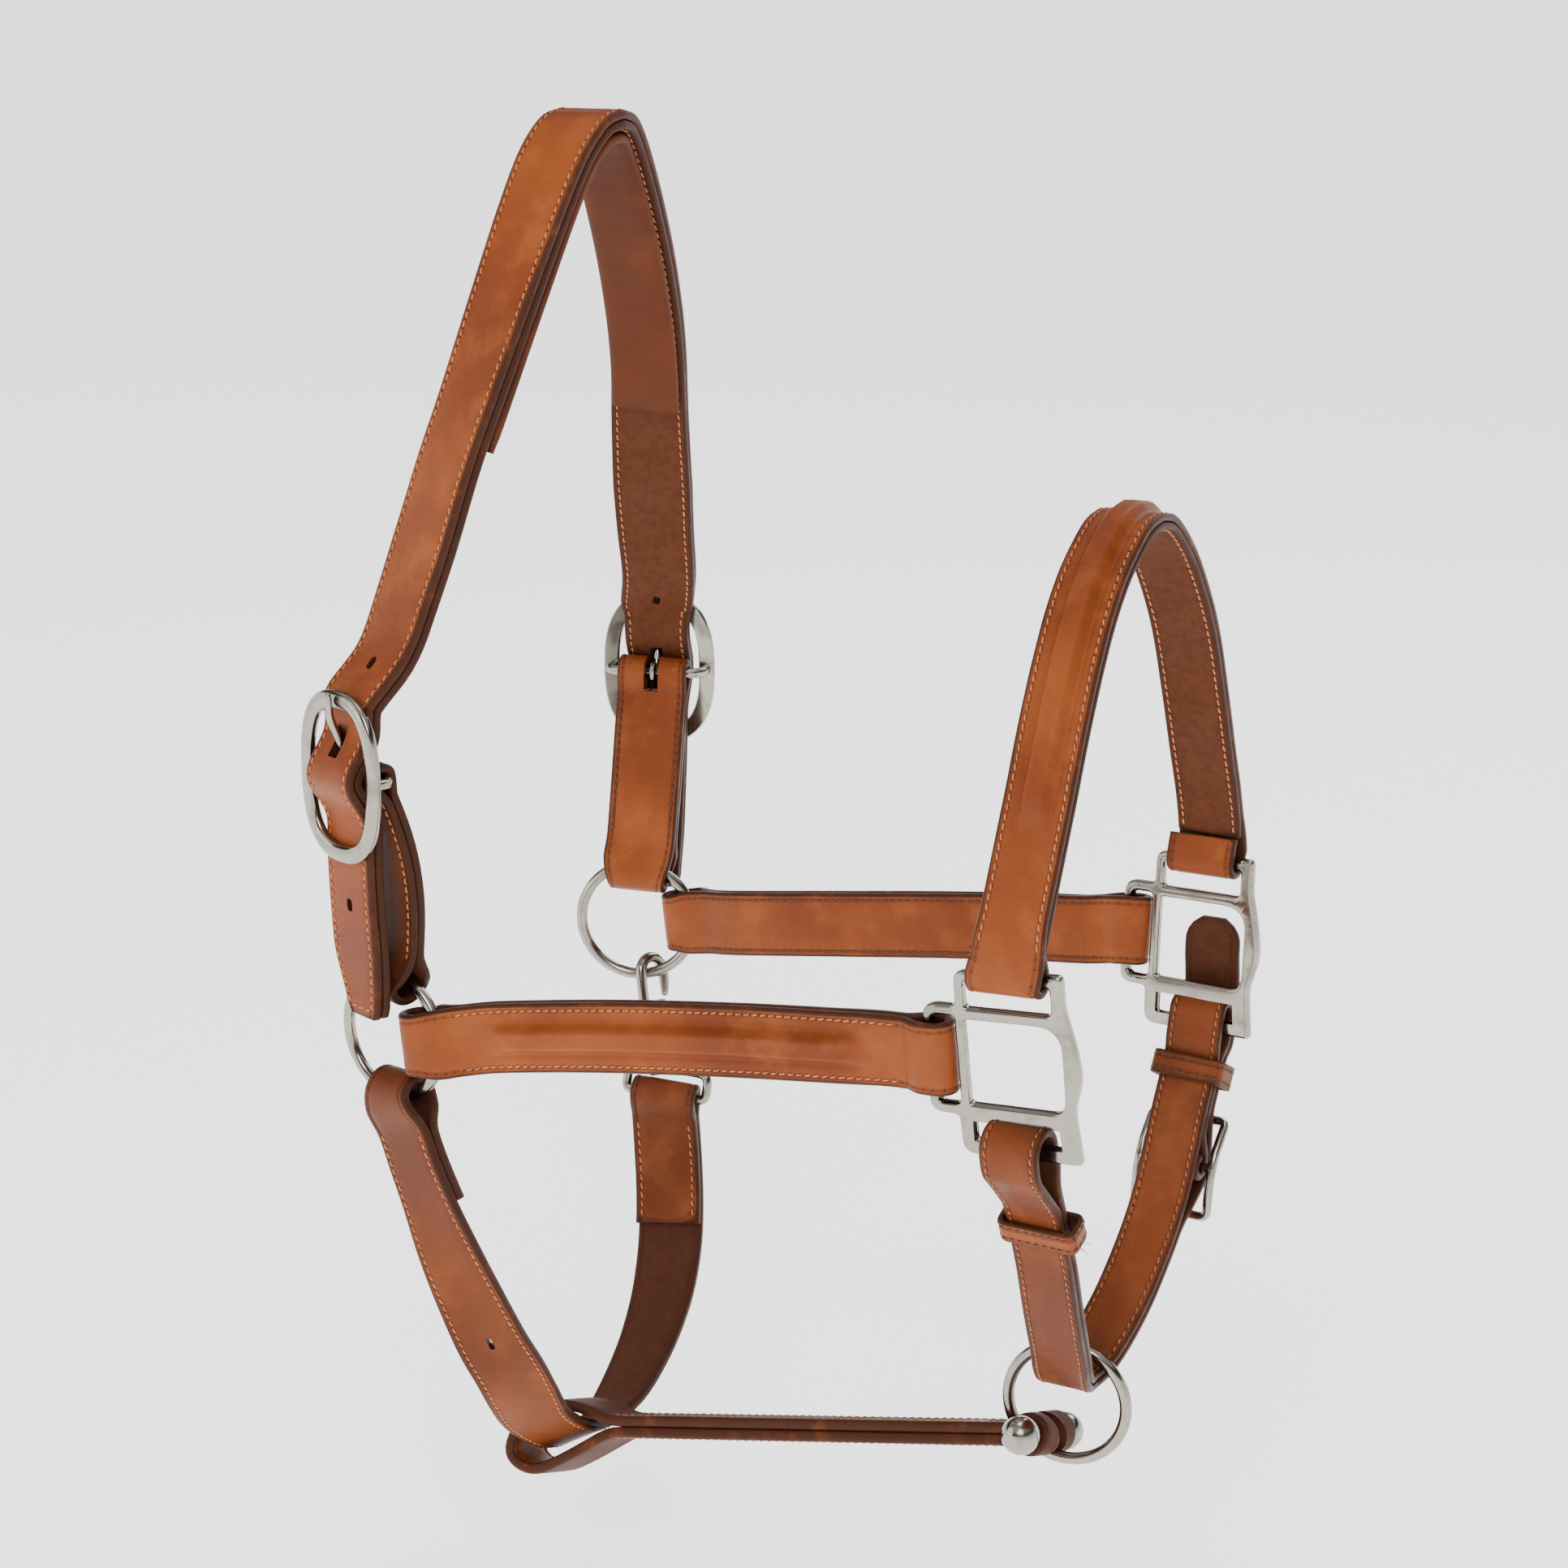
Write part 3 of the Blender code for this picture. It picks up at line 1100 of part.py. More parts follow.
def snap(spine, looks):
    centre, d_bar, w, n, up, toward, hinge = snap_frame(spine)
    wire = 2.2
    reach = 6.1
    length = (centre - d_bar).length

    def point(m, k, b=0.0):
        return centre + toward * m + up * k + hinge * b

    # the eye: a rounded loop round the throat strap's fold
    half_w = THROAT_W / 2 + 3.2
    eye_up = (up - up.dot(w) * w).normalized()
    loop = rounded([(-half_w, -1.0, 3.0), (half_w, -1.0, 3.0), (half_w, 9.6, 6.5),
                    (-half_w, 9.6, 6.5)], 4)
    face = w.cross(eye_up)
    rings = []
    count = len(loop)
    for i, (u, v) in enumerate(loop):
        d = (Vector(loop[(i + 1) % count]) - Vector(loop[i - 1])).normalized()
        ring = []
        for k in range(8):
            ang = 2 * math.pi * k / 8
            off = Vector((d.y, -d.x)) * (1.9 * math.cos(ang))
            ring.append(d_bar + w * (u + off.x) + eye_up * (v + 1.0 + off.y)
                        + face * (1.9 * math.sin(ang)))
        rings.append(ring)
    bm = bmesh.new()
    loft(bm, rings, closed=True)
    obj = finish_object("snap_hook", bm, looks["nickel"])
    foot = -(length - 11.0)
    shank = [point(-2.0, foot + 0.0), point(-4.4, foot + 7.0), point(-reach, -12.0)]
    shank += [point(-reach * math.cos(math.radians(k)), reach * math.sin(math.radians(k)))
              for k in range(0, 181, 30)]
    shank += [point(reach, -4.0), point(reach - 0.3, -8.5)]
    bar = bmesh.new()
    tube(bar, shank, [2.6, 2.4] + [wire] * (len(shank) - 4) + [2.0, 1.5], 10, hinge)
    combine(obj, bar, "UNION")
    block = box_bm(point(0.4, foot + 1.5), toward, hinge, up, (9.6, 8.6, 9.0))
    combine(obj, block, "UNION")
    slot = box_bm(point(3.6, foot + 3.6), toward, hinge, up, (9.0, 5.2, 7.6))
    combine(obj, slot, "DIFFERENCE")
    pin_at = point(2.4, foot + 3.2)
    hole = bmesh.new()
    tube(hole, [pin_at - hinge * 9.0, pin_at + hinge * 9.0], 1.2, 10, up)
    combine(obj, hole, "DIFFERENCE")
    pin = bmesh.new()
    tube(pin, [pin_at - hinge * 4.2, pin_at + hinge * 4.2], 0.85, 10, up)
    finish_object("snap_gate_pin", pin, looks["nickel"])
    gate(point, pin_at, hinge, up, foot, looks)
    spring(pin_at, hinge, up, toward, looks)


def gate(point, pin_at, hinge, up, foot, looks):
    """The sprung tongue: a hub on the pin and a thin bar up to the hook's nose."""
    tip = point(4.6, -11.0)
    along = (tip - pin_at).normalized()
    side = hinge.cross(along)
    length = (tip - pin_at).length
    hub = [(1.9 * math.cos(math.radians(k)), 1.9 * math.sin(math.radians(k)))
           for k in range(60, 301, 30)]
    outline = hub + [(length, -0.9), (length, 0.9)]
    bm = bmesh.new()
    loft(bm, [[pin_at + along * u + side * v + hinge * h for u, v in outline]
              for h in (-0.1, 2.2)])
    obj = finish_object("snap_gate", bm, looks["nickel"], put(pin_at))
    hole = bmesh.new()
    tube(hole, [pin_at - hinge * 4.0, pin_at + hinge * 5.0], 1.15, 10, up)
    combine(obj, hole, "DIFFERENCE")


def spring(pin_at, hinge, up, toward, looks):
    """A small coil round the pin beside the gate."""
    turns, wire, radius = 2.6, 0.28, 1.45
    steps = int(turns * 12)
    points = []
    for i in range(steps + 1):
        a = 2 * math.pi * i / 12
        height = -2.1 + 1.5 * i / steps
        points.append(pin_at + up * (radius * math.cos(a)) + toward * (radius * math.sin(a))
                      + hinge * height)
    bm = bmesh.new()
    tube(bm, points, wire, 6, hinge)
    finish_object("snap_spring", bm, looks["steel"])


# ---- the whole headcollar -----------------------------------------------------------------
def clear_scene():
    for obj in list(bpy.data.objects):
        bpy.data.objects.remove(obj, do_unlink=True)


def make_looks():
    return {
        "leather": material("leather", (0.36, 0.12, 0.04), 0.45, 0.0),
        "leather_dark": material("leather_inner", (0.28, 0.09, 0.03), 0.5, 0.0),
        "flesh": material("flesh_side", (0.16, 0.07, 0.03), 0.75, 0.0),
        "foam": material("foam", (0.6, 0.55, 0.45), 0.9, 0.0),
        "cord": material("cord", (0.65, 0.58, 0.45), 0.9, 0.0),
        "nickel": material("nickel", (0.72, 0.68, 0.6), 0.2, 1.0),
        "steel": material("spring_steel", (0.5, 0.5, 0.5), 0.3, 1.0),
    }


def main():
    clear_scene()
    looks = make_looks()
    crown(crown_spine(), looks)
    for side in SIDES:
        chape(side, looks)
        buckle_frame(side, looks)
        buckle_tongue(side, looks)
        side_ring(side, looks)
        cheek(side, looks)
        square(side, looks)
    noseband(nose_spine(), looks)
    chin_route = chin_spine()
    chin(chin_route, looks)
    chin_buckle(chin_route, looks)
    for name, a, low, high, width, shift in keeper_places(chin_route):
        keeper(name, chin_route, a, low, high, width, shift, looks)
    turn = unit(CHIN_RING_TURN)
    torus("chin_ring", CHIN_RING, (-turn.y, turn.x, 0.0), CHIN_RING_R, RING_WIRE, looks["nickel"])
    joining_strap(looks)
    chin_bolt(looks)
    throat_route = throat_spine()
    throat(throat_route, looks)
    snap(throat_route, looks)


main()
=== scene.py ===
"""The leather headcollar as it looks: fine leather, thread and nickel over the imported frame."""

import math

import bmesh
import bpy
from mathutils import Matrix, Vector
from mathutils.geometry import delaunay_2d_cdt


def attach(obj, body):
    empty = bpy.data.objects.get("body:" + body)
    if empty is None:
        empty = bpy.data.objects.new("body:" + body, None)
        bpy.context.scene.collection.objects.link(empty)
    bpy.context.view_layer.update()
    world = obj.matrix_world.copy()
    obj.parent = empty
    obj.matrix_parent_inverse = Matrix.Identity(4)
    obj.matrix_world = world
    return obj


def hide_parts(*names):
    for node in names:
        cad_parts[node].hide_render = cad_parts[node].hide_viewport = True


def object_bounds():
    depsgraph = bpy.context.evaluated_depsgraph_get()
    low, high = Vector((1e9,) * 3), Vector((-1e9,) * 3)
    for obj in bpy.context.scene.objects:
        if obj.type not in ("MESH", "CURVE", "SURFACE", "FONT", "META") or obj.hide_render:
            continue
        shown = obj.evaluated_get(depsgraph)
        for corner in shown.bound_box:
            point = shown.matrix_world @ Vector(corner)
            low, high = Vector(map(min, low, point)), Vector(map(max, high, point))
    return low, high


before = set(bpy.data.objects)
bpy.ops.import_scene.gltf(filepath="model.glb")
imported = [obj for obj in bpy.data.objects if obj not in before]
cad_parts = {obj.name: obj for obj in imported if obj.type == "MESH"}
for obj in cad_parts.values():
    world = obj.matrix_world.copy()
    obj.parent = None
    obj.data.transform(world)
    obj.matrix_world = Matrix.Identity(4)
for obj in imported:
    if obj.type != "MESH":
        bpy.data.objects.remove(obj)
CAD_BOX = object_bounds()

# ---- camera: the photograph's viewing angle --------------------------------------------------
MM = 0.001
POLL = Vector((37.2, 0.0, 312.4))       # the model's origin, from the middle of the side rings
UP = Vector((0.0, 0.0, 1.0))
EYE = Vector((678.0, -974.65, 376.24))
LOOK_RIGHT = Vector((0.86603, 0.5, 0.0))
LOOK_UP = Vector((-0.12341, 0.21376, 0.96906))


def put(p):
    """A design point in millimetres, from the middle of the side rings, in the row frame."""
    return (Vector(p) - POLL) * MM


camera = bpy.data.objects.new("camera", bpy.data.cameras.new("camera"))
camera.data.lens = 74.53
camera.data.sensor_width = 36.0
camera.data.clip_start = 0.05
right, up_way = LOOK_RIGHT.normalized(), LOOK_UP.normalized()
back_way = right.cross(up_way).normalized()
camera.matrix_world = Matrix.Translation(put(EYE)) @ Matrix(
    (right, up_way, back_way)).transposed().to_4x4()
bpy.context.scene.collection.objects.link(camera)
bpy.context.scene.camera = camera

# ---- driving dimensions, mm, the same as the frame's ----------------------------------------
SIDES = {"off": -1.0, "near": 1.0}
GAP = 0.3                               # air left between pieces that touch

RING_R = 22.8                           # middle radius of the side rings, 50 mm over all
RING_REACH = 0.93                       # share of it at which a cheek strap folds round
RING_WIRE = 2.2                         # radius of the rings' wire
SIDE_RING_Y = 81.5
SIDE_RING_Z = {"off": 0.0, "near": 0.7}
CHIN_RING_R = 21.7
RING_TURN = {"off": 8.0, "near": 20.0}  # how far each ring's front stands outward, degrees
CHIN_RING = Vector((231.7, 0.0, -122.8))
CHIN_RING_TURN = 9.0

CROWN_W = 28.8
BILLET_SLIM = 3.1                       # less width in and below the buckles
CROWN_WIDER = 1.8                       # more width between the pad and the buckles
CROWN_PLY = 3.4
BILLET_TIP_W = 20.0                     # width of the crown's squared-off ends
PAD_W = 26.4
PAD_COVER = 1.2
PAD_FOAM = 2.4
PAD_END_Z = 215.0                       # height of both ends of the poll pad

CHAPE_W = 28.0
CHAPE_REACH = {"off": 8.0, "near": 8.2}         # middle of the fold below the ring's top wire
CHAPE_FOLD_NARROW = {"off": 8.5, "near": 5.4}   # how much the fold at the ring is narrowed
CHAPE_PLY = 3.2
SIDE_TWIST = 18.0                       # crown ends, chapes and buckles face a little rearward
BUCKLE_Z = 100.0                        # centre bar of the head buckles
BUCKLE_OUT = 22.6                       # frame plane, outward of the ring centre
BAR_OUT = 14.0                          # centre bar, outward of the ring centre
BUCKLE_FORWARD = {"off": 4.3, "near": 4.6}
CHAPE_FORWARD = {"off": 0.0, "near": 1.2}       # the chape's middle at the ring
CHAPE_BULGE = {"off": 3.8, "near": 1.2}         # how far its middle stands forward
BUCKLE_A, BUCKLE_B = 19.6, 27.6         # half axes of the frame's middle line
BUCKLE_BAND = 6.2
BAR_REACH = 18.6                        # half the length of a head buckle's bar
OVAL = 2.6                              # squareness of the frame's outline
BILLET_OUT = 20.4                       # billet's face behind the frame, from the ring centre
BILLET_SWELL = 8.2                      # how far it rises over the centre bar
BILLET_REACH = 18.5                     # half length of that rise
BUCKLE_T = 3.5
BAR_R = 2.0

CHEEK_W = 25.4
CHEEK_PLY = 3.2
CHEEK_FOLD_NARROW = 2.4                 # how much the fold at the ring is narrowed
CHEEK_RISE = 4.0                        # height of the raised centre
CHEEK_END = {"off": 12.2, "near": 10.8}  # how far each fold reaches behind the ring's front
NOSE_W = 24.0
NOSE_PLY = 2.8
NOSE_RISE = 3.4

SQUARE_T = 4.2
SQUARE_AT = {"off": Vector((245.5, -76.7, 29.5)), "near": Vector((244.9, 77.8, 30.0))}
NEAR_WIDER = 1.6                        # the near square stands further out than the off one
SQUARE_LEAN = 5.6                       # its foot leans inward
SQUARE_TURN = 2.8                       # its front turns inward
SQUARE_PITCH = {"off": 3.0, "near": 0.5}  # its nose is up

CHIN_W = 21.0
CHIN_PLY = 3.0
CHIN_PINCH = 1.1                        # less width inside the chin ring
CHIN_BUCKLE_OUT = 5.5                   # its bar, outward of the middle of the two runs
CHIN_BUCKLE_HALF = (14.2, 17.6)         # half width and half length of its frame
CHIN_BUCKLE_LIFT = 5.0                  # how far its two ends curve outward of its bar
OFF_KEEPER_Z, NEAR_KEEPER_Z = -33.0, -15.5
THROAT_W = 27.0
THROAT_PLY = 3.8
THROAT_FOLD_NARROW = 7.6                # how much the fold at the ring is narrowed
JOIN_W = 25.4
JOIN_PLY = 4.2
JOIN_ROLL = 20.0
BOLT_R = 3.1
BOLT_BALL_R = 7.0
BALL_SET = 0.86                         # a ball's centre outside the strap, in ball radii
D_WIRE = 1.9                            # radius of the wire of the snap's loop for the strap
D_BAR = 6.0                             # from that loop's bar to the end of the strap's route

# ---- dimensions of the visual model alone, mm -----------------------------------------------
WIRE_SIDES = 20                         # sides of round wire
PLIES_APART = 0.04                      # air between two plies
SEAM = 0.005                            # half the air in a seam where two ends meet
THREAD_DEEP = 0.1                       # how far a thread's middle lies in its groove
INSET = 2.4                             # from a strap's edge to its stitches, where not set
EDGE = 1.1                              # radius of a strap's edges, where not set
# slots and holes in the leather: full sizes along the three axes that each is cut on
TONGUE_SLOT = (5.0, 9.0, 20.6)          # for a head buckle's tongue, through a billet
HOLE = (3.0, 4.6, 12.0)                 # an unused hole of a billet
CHAPE_SLOT = (5.6, 16.0, 17.0)          # for a head buckle's tongue, in a chape's fold
CHIN_CHAPE_SLOT = (5.0, 12.6, 13.6)     # for the chin buckle's tongue, in the fold at its bar
CHIN_SLOT = (4.4, 7.0, 17.4)            # for the same tongue, through the strap's other end
JOIN_SLOT = (34.0, 6.4, 34.0)           # for the chin ring, through the joining strap
SLIT = (1.8, 5.2, 12.0)                 # low in the throat strap

# the casting's outer edge, anticlockwise from the rear slot's foot: forward, up, corner radius
SQUARE_OUTLINE = [
    (-30.9, -19.0, 6.0), (-20.6, -19.3, 1.5), (-20.2, -32.9, 5.0), (22.0, -32.9, 0.8),
    (21.0, -22.0, 3.0), (20.4, -14.0, 3.0), (23.9, -3.0, 6.0), (22.4, 8.0, 4.0),
    (19.4, 21.0, 3.0), (19.4, 32.6, 3.0), (14.4, 32.6, 2.0), (14.4, 31.7, 0.5),
    (-18.9, 31.7, 4.5), (-18.9, 19.4, 1.5), (-30.9, 19.4, 6.0),
]
# its window, and the slots above, behind and below it
SQUARE_HOLES = [
    [(-16.3, -15.0, 1.0), (17.4, -15.3, 5.0), (17.6, 14.6, 9.0), (-16.3, 14.6, 1.0)],
    [(-15.6, 18.8, 0.6), (14.8, 18.8, 0.6), (14.8, 28.3, 0.6), (-15.6, 28.3, 0.6)],
    [(-27.6, -15.2, 2.5), (-19.6, -15.2, 0.6), (-19.6, 15.5, 0.6), (-27.6, 15.5, 2.5)],
    [(-16.9, -19.4, 0.6), (16.2, -19.6, 0.6), (17.2, -29.6, 0.6), (-16.9, -29.6, 2.5)],
]


# ---- routes ------------------------------------------------------------------------------
def cos_deg(degrees):
    return math.cos(math.radians(degrees))


def sin_deg(degrees):
    return math.sin(math.radians(degrees))


def unit(degrees, s=1.0):
    """The level direction `degrees` outward of +X on side s."""
    return Vector((cos_deg(degrees), s * sin_deg(degrees), 0.0))


def level_axes(degrees, s=1.0):
    """That level direction and the outward one square to it."""
    along = unit(degrees, s)
    return along, Vector((-s * along.y, s * along.x, 0.0))


def mirrored(points):
    """Half a route, from its far end to just before the middle, on the other side."""
    flip = Matrix.Diagonal((1.0, -1.0, 1.0))
    return [flip @ p for p in points[:0:-1]]


def turn(count):
    """The angles of `count` equal steps round a circle."""
    return [2 * math.pi * k / count for k in range(count)]


def ease(t):
    t = min(1.0, max(0.0, t))
    return t * t * (3.0 - 2.0 * t)


def curve_through(points, per):
    """A smooth curve through the points, with `per` steps between neighbours."""
    pts = [Vector(p) for p in points]
    pts = [2 * pts[0] - pts[1]] + pts + [2 * pts[-1] - pts[-2]]
    out = []
    for i in range(1, len(pts) - 2):
        a, b, c, d = pts[i - 1:i + 3]
        for k in range(per):
            t = k / per
            out.append(0.5 * (2 * b + (c - a) * t + (2 * a - 5 * b + 4 * c - d) * t * t
                              + (3 * b - a - 3 * c + d) * t * t * t))
    out.append(pts[-2].copy())
    return out


class Spine:
    """A strap's route: points, the direction across the strap, and the outward normal."""

    def __init__(self, points, across, flip):
        self.p = points
        self.s = [0.0]
        for a, b in zip(points, points[1:]):
            self.s.append(self.s[-1] + (b - a).length)
        self.length = self.s[-1]
        self.w, self.n, self.flip = [], [], flip
        last = len(points) - 1
        for i in range(len(points)):
            t = (points[min(i + 1, last)] - points[max(i - 1, 0)]).normalized()
            w = across[i] - across[i].dot(t) * t
            w.normalize()
            self.w.append(w)
            self.n.append(flip * t.cross(w))

    def at(self, a):
        """Middle point, across and normal, at distance a along the route."""
        a = min(self.length, max(0.0, a))
        i = 0
        while i < len(self.s) - 2 and self.s[i + 1] < a:
            i += 1
        t = (a - self.s[i]) / (self.s[i + 1] - self.s[i])
        return (self.p[i].lerp(self.p[i + 1], t), self.w[i].lerp(self.w[i + 1], t).normalized(),
                self.n[i].lerp(self.n[i + 1], t).normalized())

    def near(self, want, start=0.0):
        """The distance along the route, from start on, where want(point) first turns true."""
        for i in range(1, len(self.s)):
            if self.s[i] >= start and want(self.p[i]):
                low, high = self.s[i - 1], self.s[i]
                for _ in range(12):
                    middle = 0.5 * (low + high)
                    low, high = (low, middle) if want(self.at(middle)[0]) else (middle, high)
                return high
        return self.length


def tube_rings(points, radius, sides, up):
    """Round sections along points; radius is a number or one value for each point."""
    rings = []
    last = len(points) - 1
    side = Vector(up)
    for i, p in enumerate(points):
        t = (points[min(i + 1, last)] - points[max(i - 1, 0)]).normalized()
        side = (side - side.dot(t) * t).normalized()
        other = t.cross(side)
        r = radius[i] if isinstance(radius, list) else radius
        ring = []
        for a in turn(sides):
            ring.append(p + side * (r * math.cos(a)) + other * (r * math.sin(a)))
        rings.append(ring)
    return rings


def rounded(corners, steps):
    """An outline from (u, v, radius) corners, each rounded off by an arc."""
    out = []
    n = len(corners)
    for i, (u, v, r) in enumerate(corners):
        here = Vector((u, v))
        before = Vector(corners[i - 1][:2]) - here
        after = Vector(corners[(i + 1) % n][:2]) - here
        if r <= 0:
            out.append((u, v))
            continue
        reach = min(r, 0.45 * before.length, 0.45 * after.length)
        a = here + before.normalized() * reach
        b = here + after.normalized() * reach
        for k in range(steps + 1):
            t = k / steps
            p = a * (1 - t) ** 2 + here * (2 * t * (1 - t)) + b * t * t
            out.append((p.x, p.y))
    return out


def spread(start, end, step):
    count = max(1, int(round(abs(end - start) / step)))
    return [start + (end - start) * i / count for i in range(count + 1)]


def crown_spine():
    """The crown's outer face from the off billet's end, over the poll, to the near billet's."""
    lean, out = level_axes(SIDE_TWIST)
    half = []
    # the straight and arched part: x, y, z and twist
    for x, y, z, twist in (
        (37.0, 0.0, 324.8, 0.0), (36.0, 10.0, 322.0, 0.0), (34.0, 20.8, 311.2, 1.0),
        (32.0, 31.6, 293.6, 4.0), (29.5, 42.6, 272.2, 8.0), (26.2, 52.8, 249.6, 12.0),
        (22.6, 60.6, 229.6, 15.0), (18.0, 68.2, 207.8, 17.0), (14.0, 75.6, 185.0, 18.0),
        (10.0, 83.8, 162.0, 18.0), (6.6, 91.4, 144.0, 18.0),
    ):
        half.append((Vector((x, y, z)), unit(twist)))
    # behind the buckle's top, over its centre bar, behind its foot, then the hanging billet
    base = Vector((0.0, SIDE_RING_Y, 0.0)) + lean * 0.5
    for z in (129.5, 124.0, 118.0, 114.5, 111.0, 107.5, 104.0, 100.0, 96.0, 92.5, 89.0, 85.5,
              82.0, 76.0, 66.0, 52.0, 38.0, 25.0, 12.0):
        reach = min(90.0, abs(z - BUCKLE_Z) * 90.0 / BILLET_REACH)
        swell = BILLET_SWELL * cos_deg(reach) ** 2
        rest = BILLET_OUT - 3.0 * ease((72.0 - z) / 60.0) - 4.0 * ease((z - 124.0) / 12.0)
        forward = 4.2 * (z + 60.0) / (BUCKLE_Z + 60.0)
        half.append((base + lean * forward + out * (rest + swell) + Vector((0, 0, z)), lean))
    points = curve_through([p for p, _ in half], 4)
    across = curve_through([w for _, w in half], 4)
    return Spine(mirrored(points) + points, mirrored(across) + across, -1.0)


def chape_spine(side):
    """The middle of a chape's two plies, from its ring up to its buckle's centre bar."""
    s = SIDES[side]
    lean, out = level_axes(SIDE_TWIST, s)
    base = Vector((0.0, s * SIDE_RING_Y, 0.0))
    points = []
    steps, low = 40, 5.0
    for i in range(steps + 1):
        z = low + i * (BUCKLE_Z + 12.0 - low) / steps
        t = (z - RING_R) / (BUCKLE_Z - RING_R)
        rise = BAR_OUT * max(0.0, t) ** 2.6
        forward = CHAPE_FORWARD[side] + (BUCKLE_FORWARD[side] - CHAPE_FORWARD[side]) * t
        forward += CHAPE_BULGE[side] * math.sin(math.pi * min(1.0, max(0.0, t)))
        points.append(base + lean * forward + out * rise + Vector((0, 0, z)))
    return Spine(points, [lean] * len(points), s)


def cheek_spine(side):
    """The middle of a cheek strap's two plies, from its ring to its square."""
    s = SIDES[side]
    start = SIDE_RING_Y + RING_R * sin_deg(RING_TURN[side])
    drop = 1.8 if side == "off" else 1.6
    front = square_point(s, -29.2, 0.6)
    forward, _, up = square_axes(s)
    points = [Vector((x, s * y, z)) for x, y, z in (
        (2.0, start + 0.2, 0.6 - drop), (20.0, start, 2.9 - drop),
        (32.0, 0.5 * (start + 81.6), 4.3 - 0.5 * drop), (48.0, 80.6, 6.6), (91.0, 78.2, 13.4),
        (140.0, 78.2, 20.4), (180.0, 78.6, 25.4), (200.0, 78.3, 27.7))]
    across = [UP] * 6 + [UP.lerp(up, 0.5)] + [up]
    points += [front, front + forward * 14.0]
    across += [up, up]
    return Spine(curve_through(points, 5), curve_through(across, 5), -s)


def nose_spine():
    """The noseband's outer face from the off square, over the nose, to the near square."""
    half = [
        (247.5, 0.0, 199.6), (247.5, 10.3, 197.6), (247.4, 20.0, 191.6), (247.2, 30.0, 183.0),
        (247.2, 39.6, 171.6), (247.4, 47.8, 159.2), (247.4, 54.3, 147.0), (247.2, 60.3, 133.4),
        (247.1, 66.2, 119.0), (246.8, 72.2, 104.4), (246.5, 77.8, 90.6), (245.9, 83.0, 76.0),
        (245.4, 85.4, 64.6),
    ]
    points = curve_through(half, 4)
    right = [p + Vector((0.0, NEAR_WIDER * ease((112.0 - p.z) / 48.0), 0.0)) for p in points]
    points = mirrored(points) + right
    return Spine(points, [Vector((1.0, 0.0, 0.0))] * len(points), -1.0)


def square_axes(s):
    """Forward, outward and upward directions of a square fitting on side s."""
    yaw = Matrix.Rotation(-s * math.radians(SQUARE_TURN), 3, "Z")
    lean = Matrix.Rotation(-s * math.radians(SQUARE_LEAN), 3, "X")
    pitch = Matrix.Rotation(-math.radians(SQUARE_PITCH["near" if s > 0 else "off"]), 3, "Y")
    m = lean @ yaw @ pitch
    return m @ Vector((1, 0, 0)), m @ Vector((0, s, 0)), m @ Vector((0, 0, 1))


def square_point(s, p, q, h=0.0):
    """A point of a square fitting: p forward, q up and h outward of its window's middle."""
    forward, outward, up = square_axes(s)
    middle = SQUARE_AT["near" if s > 0 else "off"]
    return middle + forward * p + up * q + outward * h


def chin_spine():
    """The middle of the chin strap's two runs, from the off square's foot bar, through the
    chin ring, to the near square's foot bar."""
    half = [
        (233.9, 0.0, -111.8), (235.0, 8.0, -109.8), (237.6, 16.8, -102.6), (240.6, 25.6, -91.8),
        (242.8, 34.2, -79.4), (244.6, 42.0, -66.4), (245.8, 48.2, -53.8), (246.2, 53.6, -41.6),
        (246.4, 59.0, -30.0), (246.8, 65.0, -18.0), (247.2, 70.6, -7.0), (247.2, 73.4, 0.0),
        (247.2, 75.4, 10.0), (247.2, 76.8, 22.0), (247.2, 78.0, 34.0), (247.2, 79.0, 46.0),
    ]
    points = curve_through(half, 4)
    right = [p + Vector((0.0, NEAR_WIDER * ease((p.z + 104.0) / 40.0), 0.0)) for p in points]
    points = mirrored(points) + right
    return Spine(points, [Vector((1.0, 0.0, 0.0))] * len(points), 1.0)


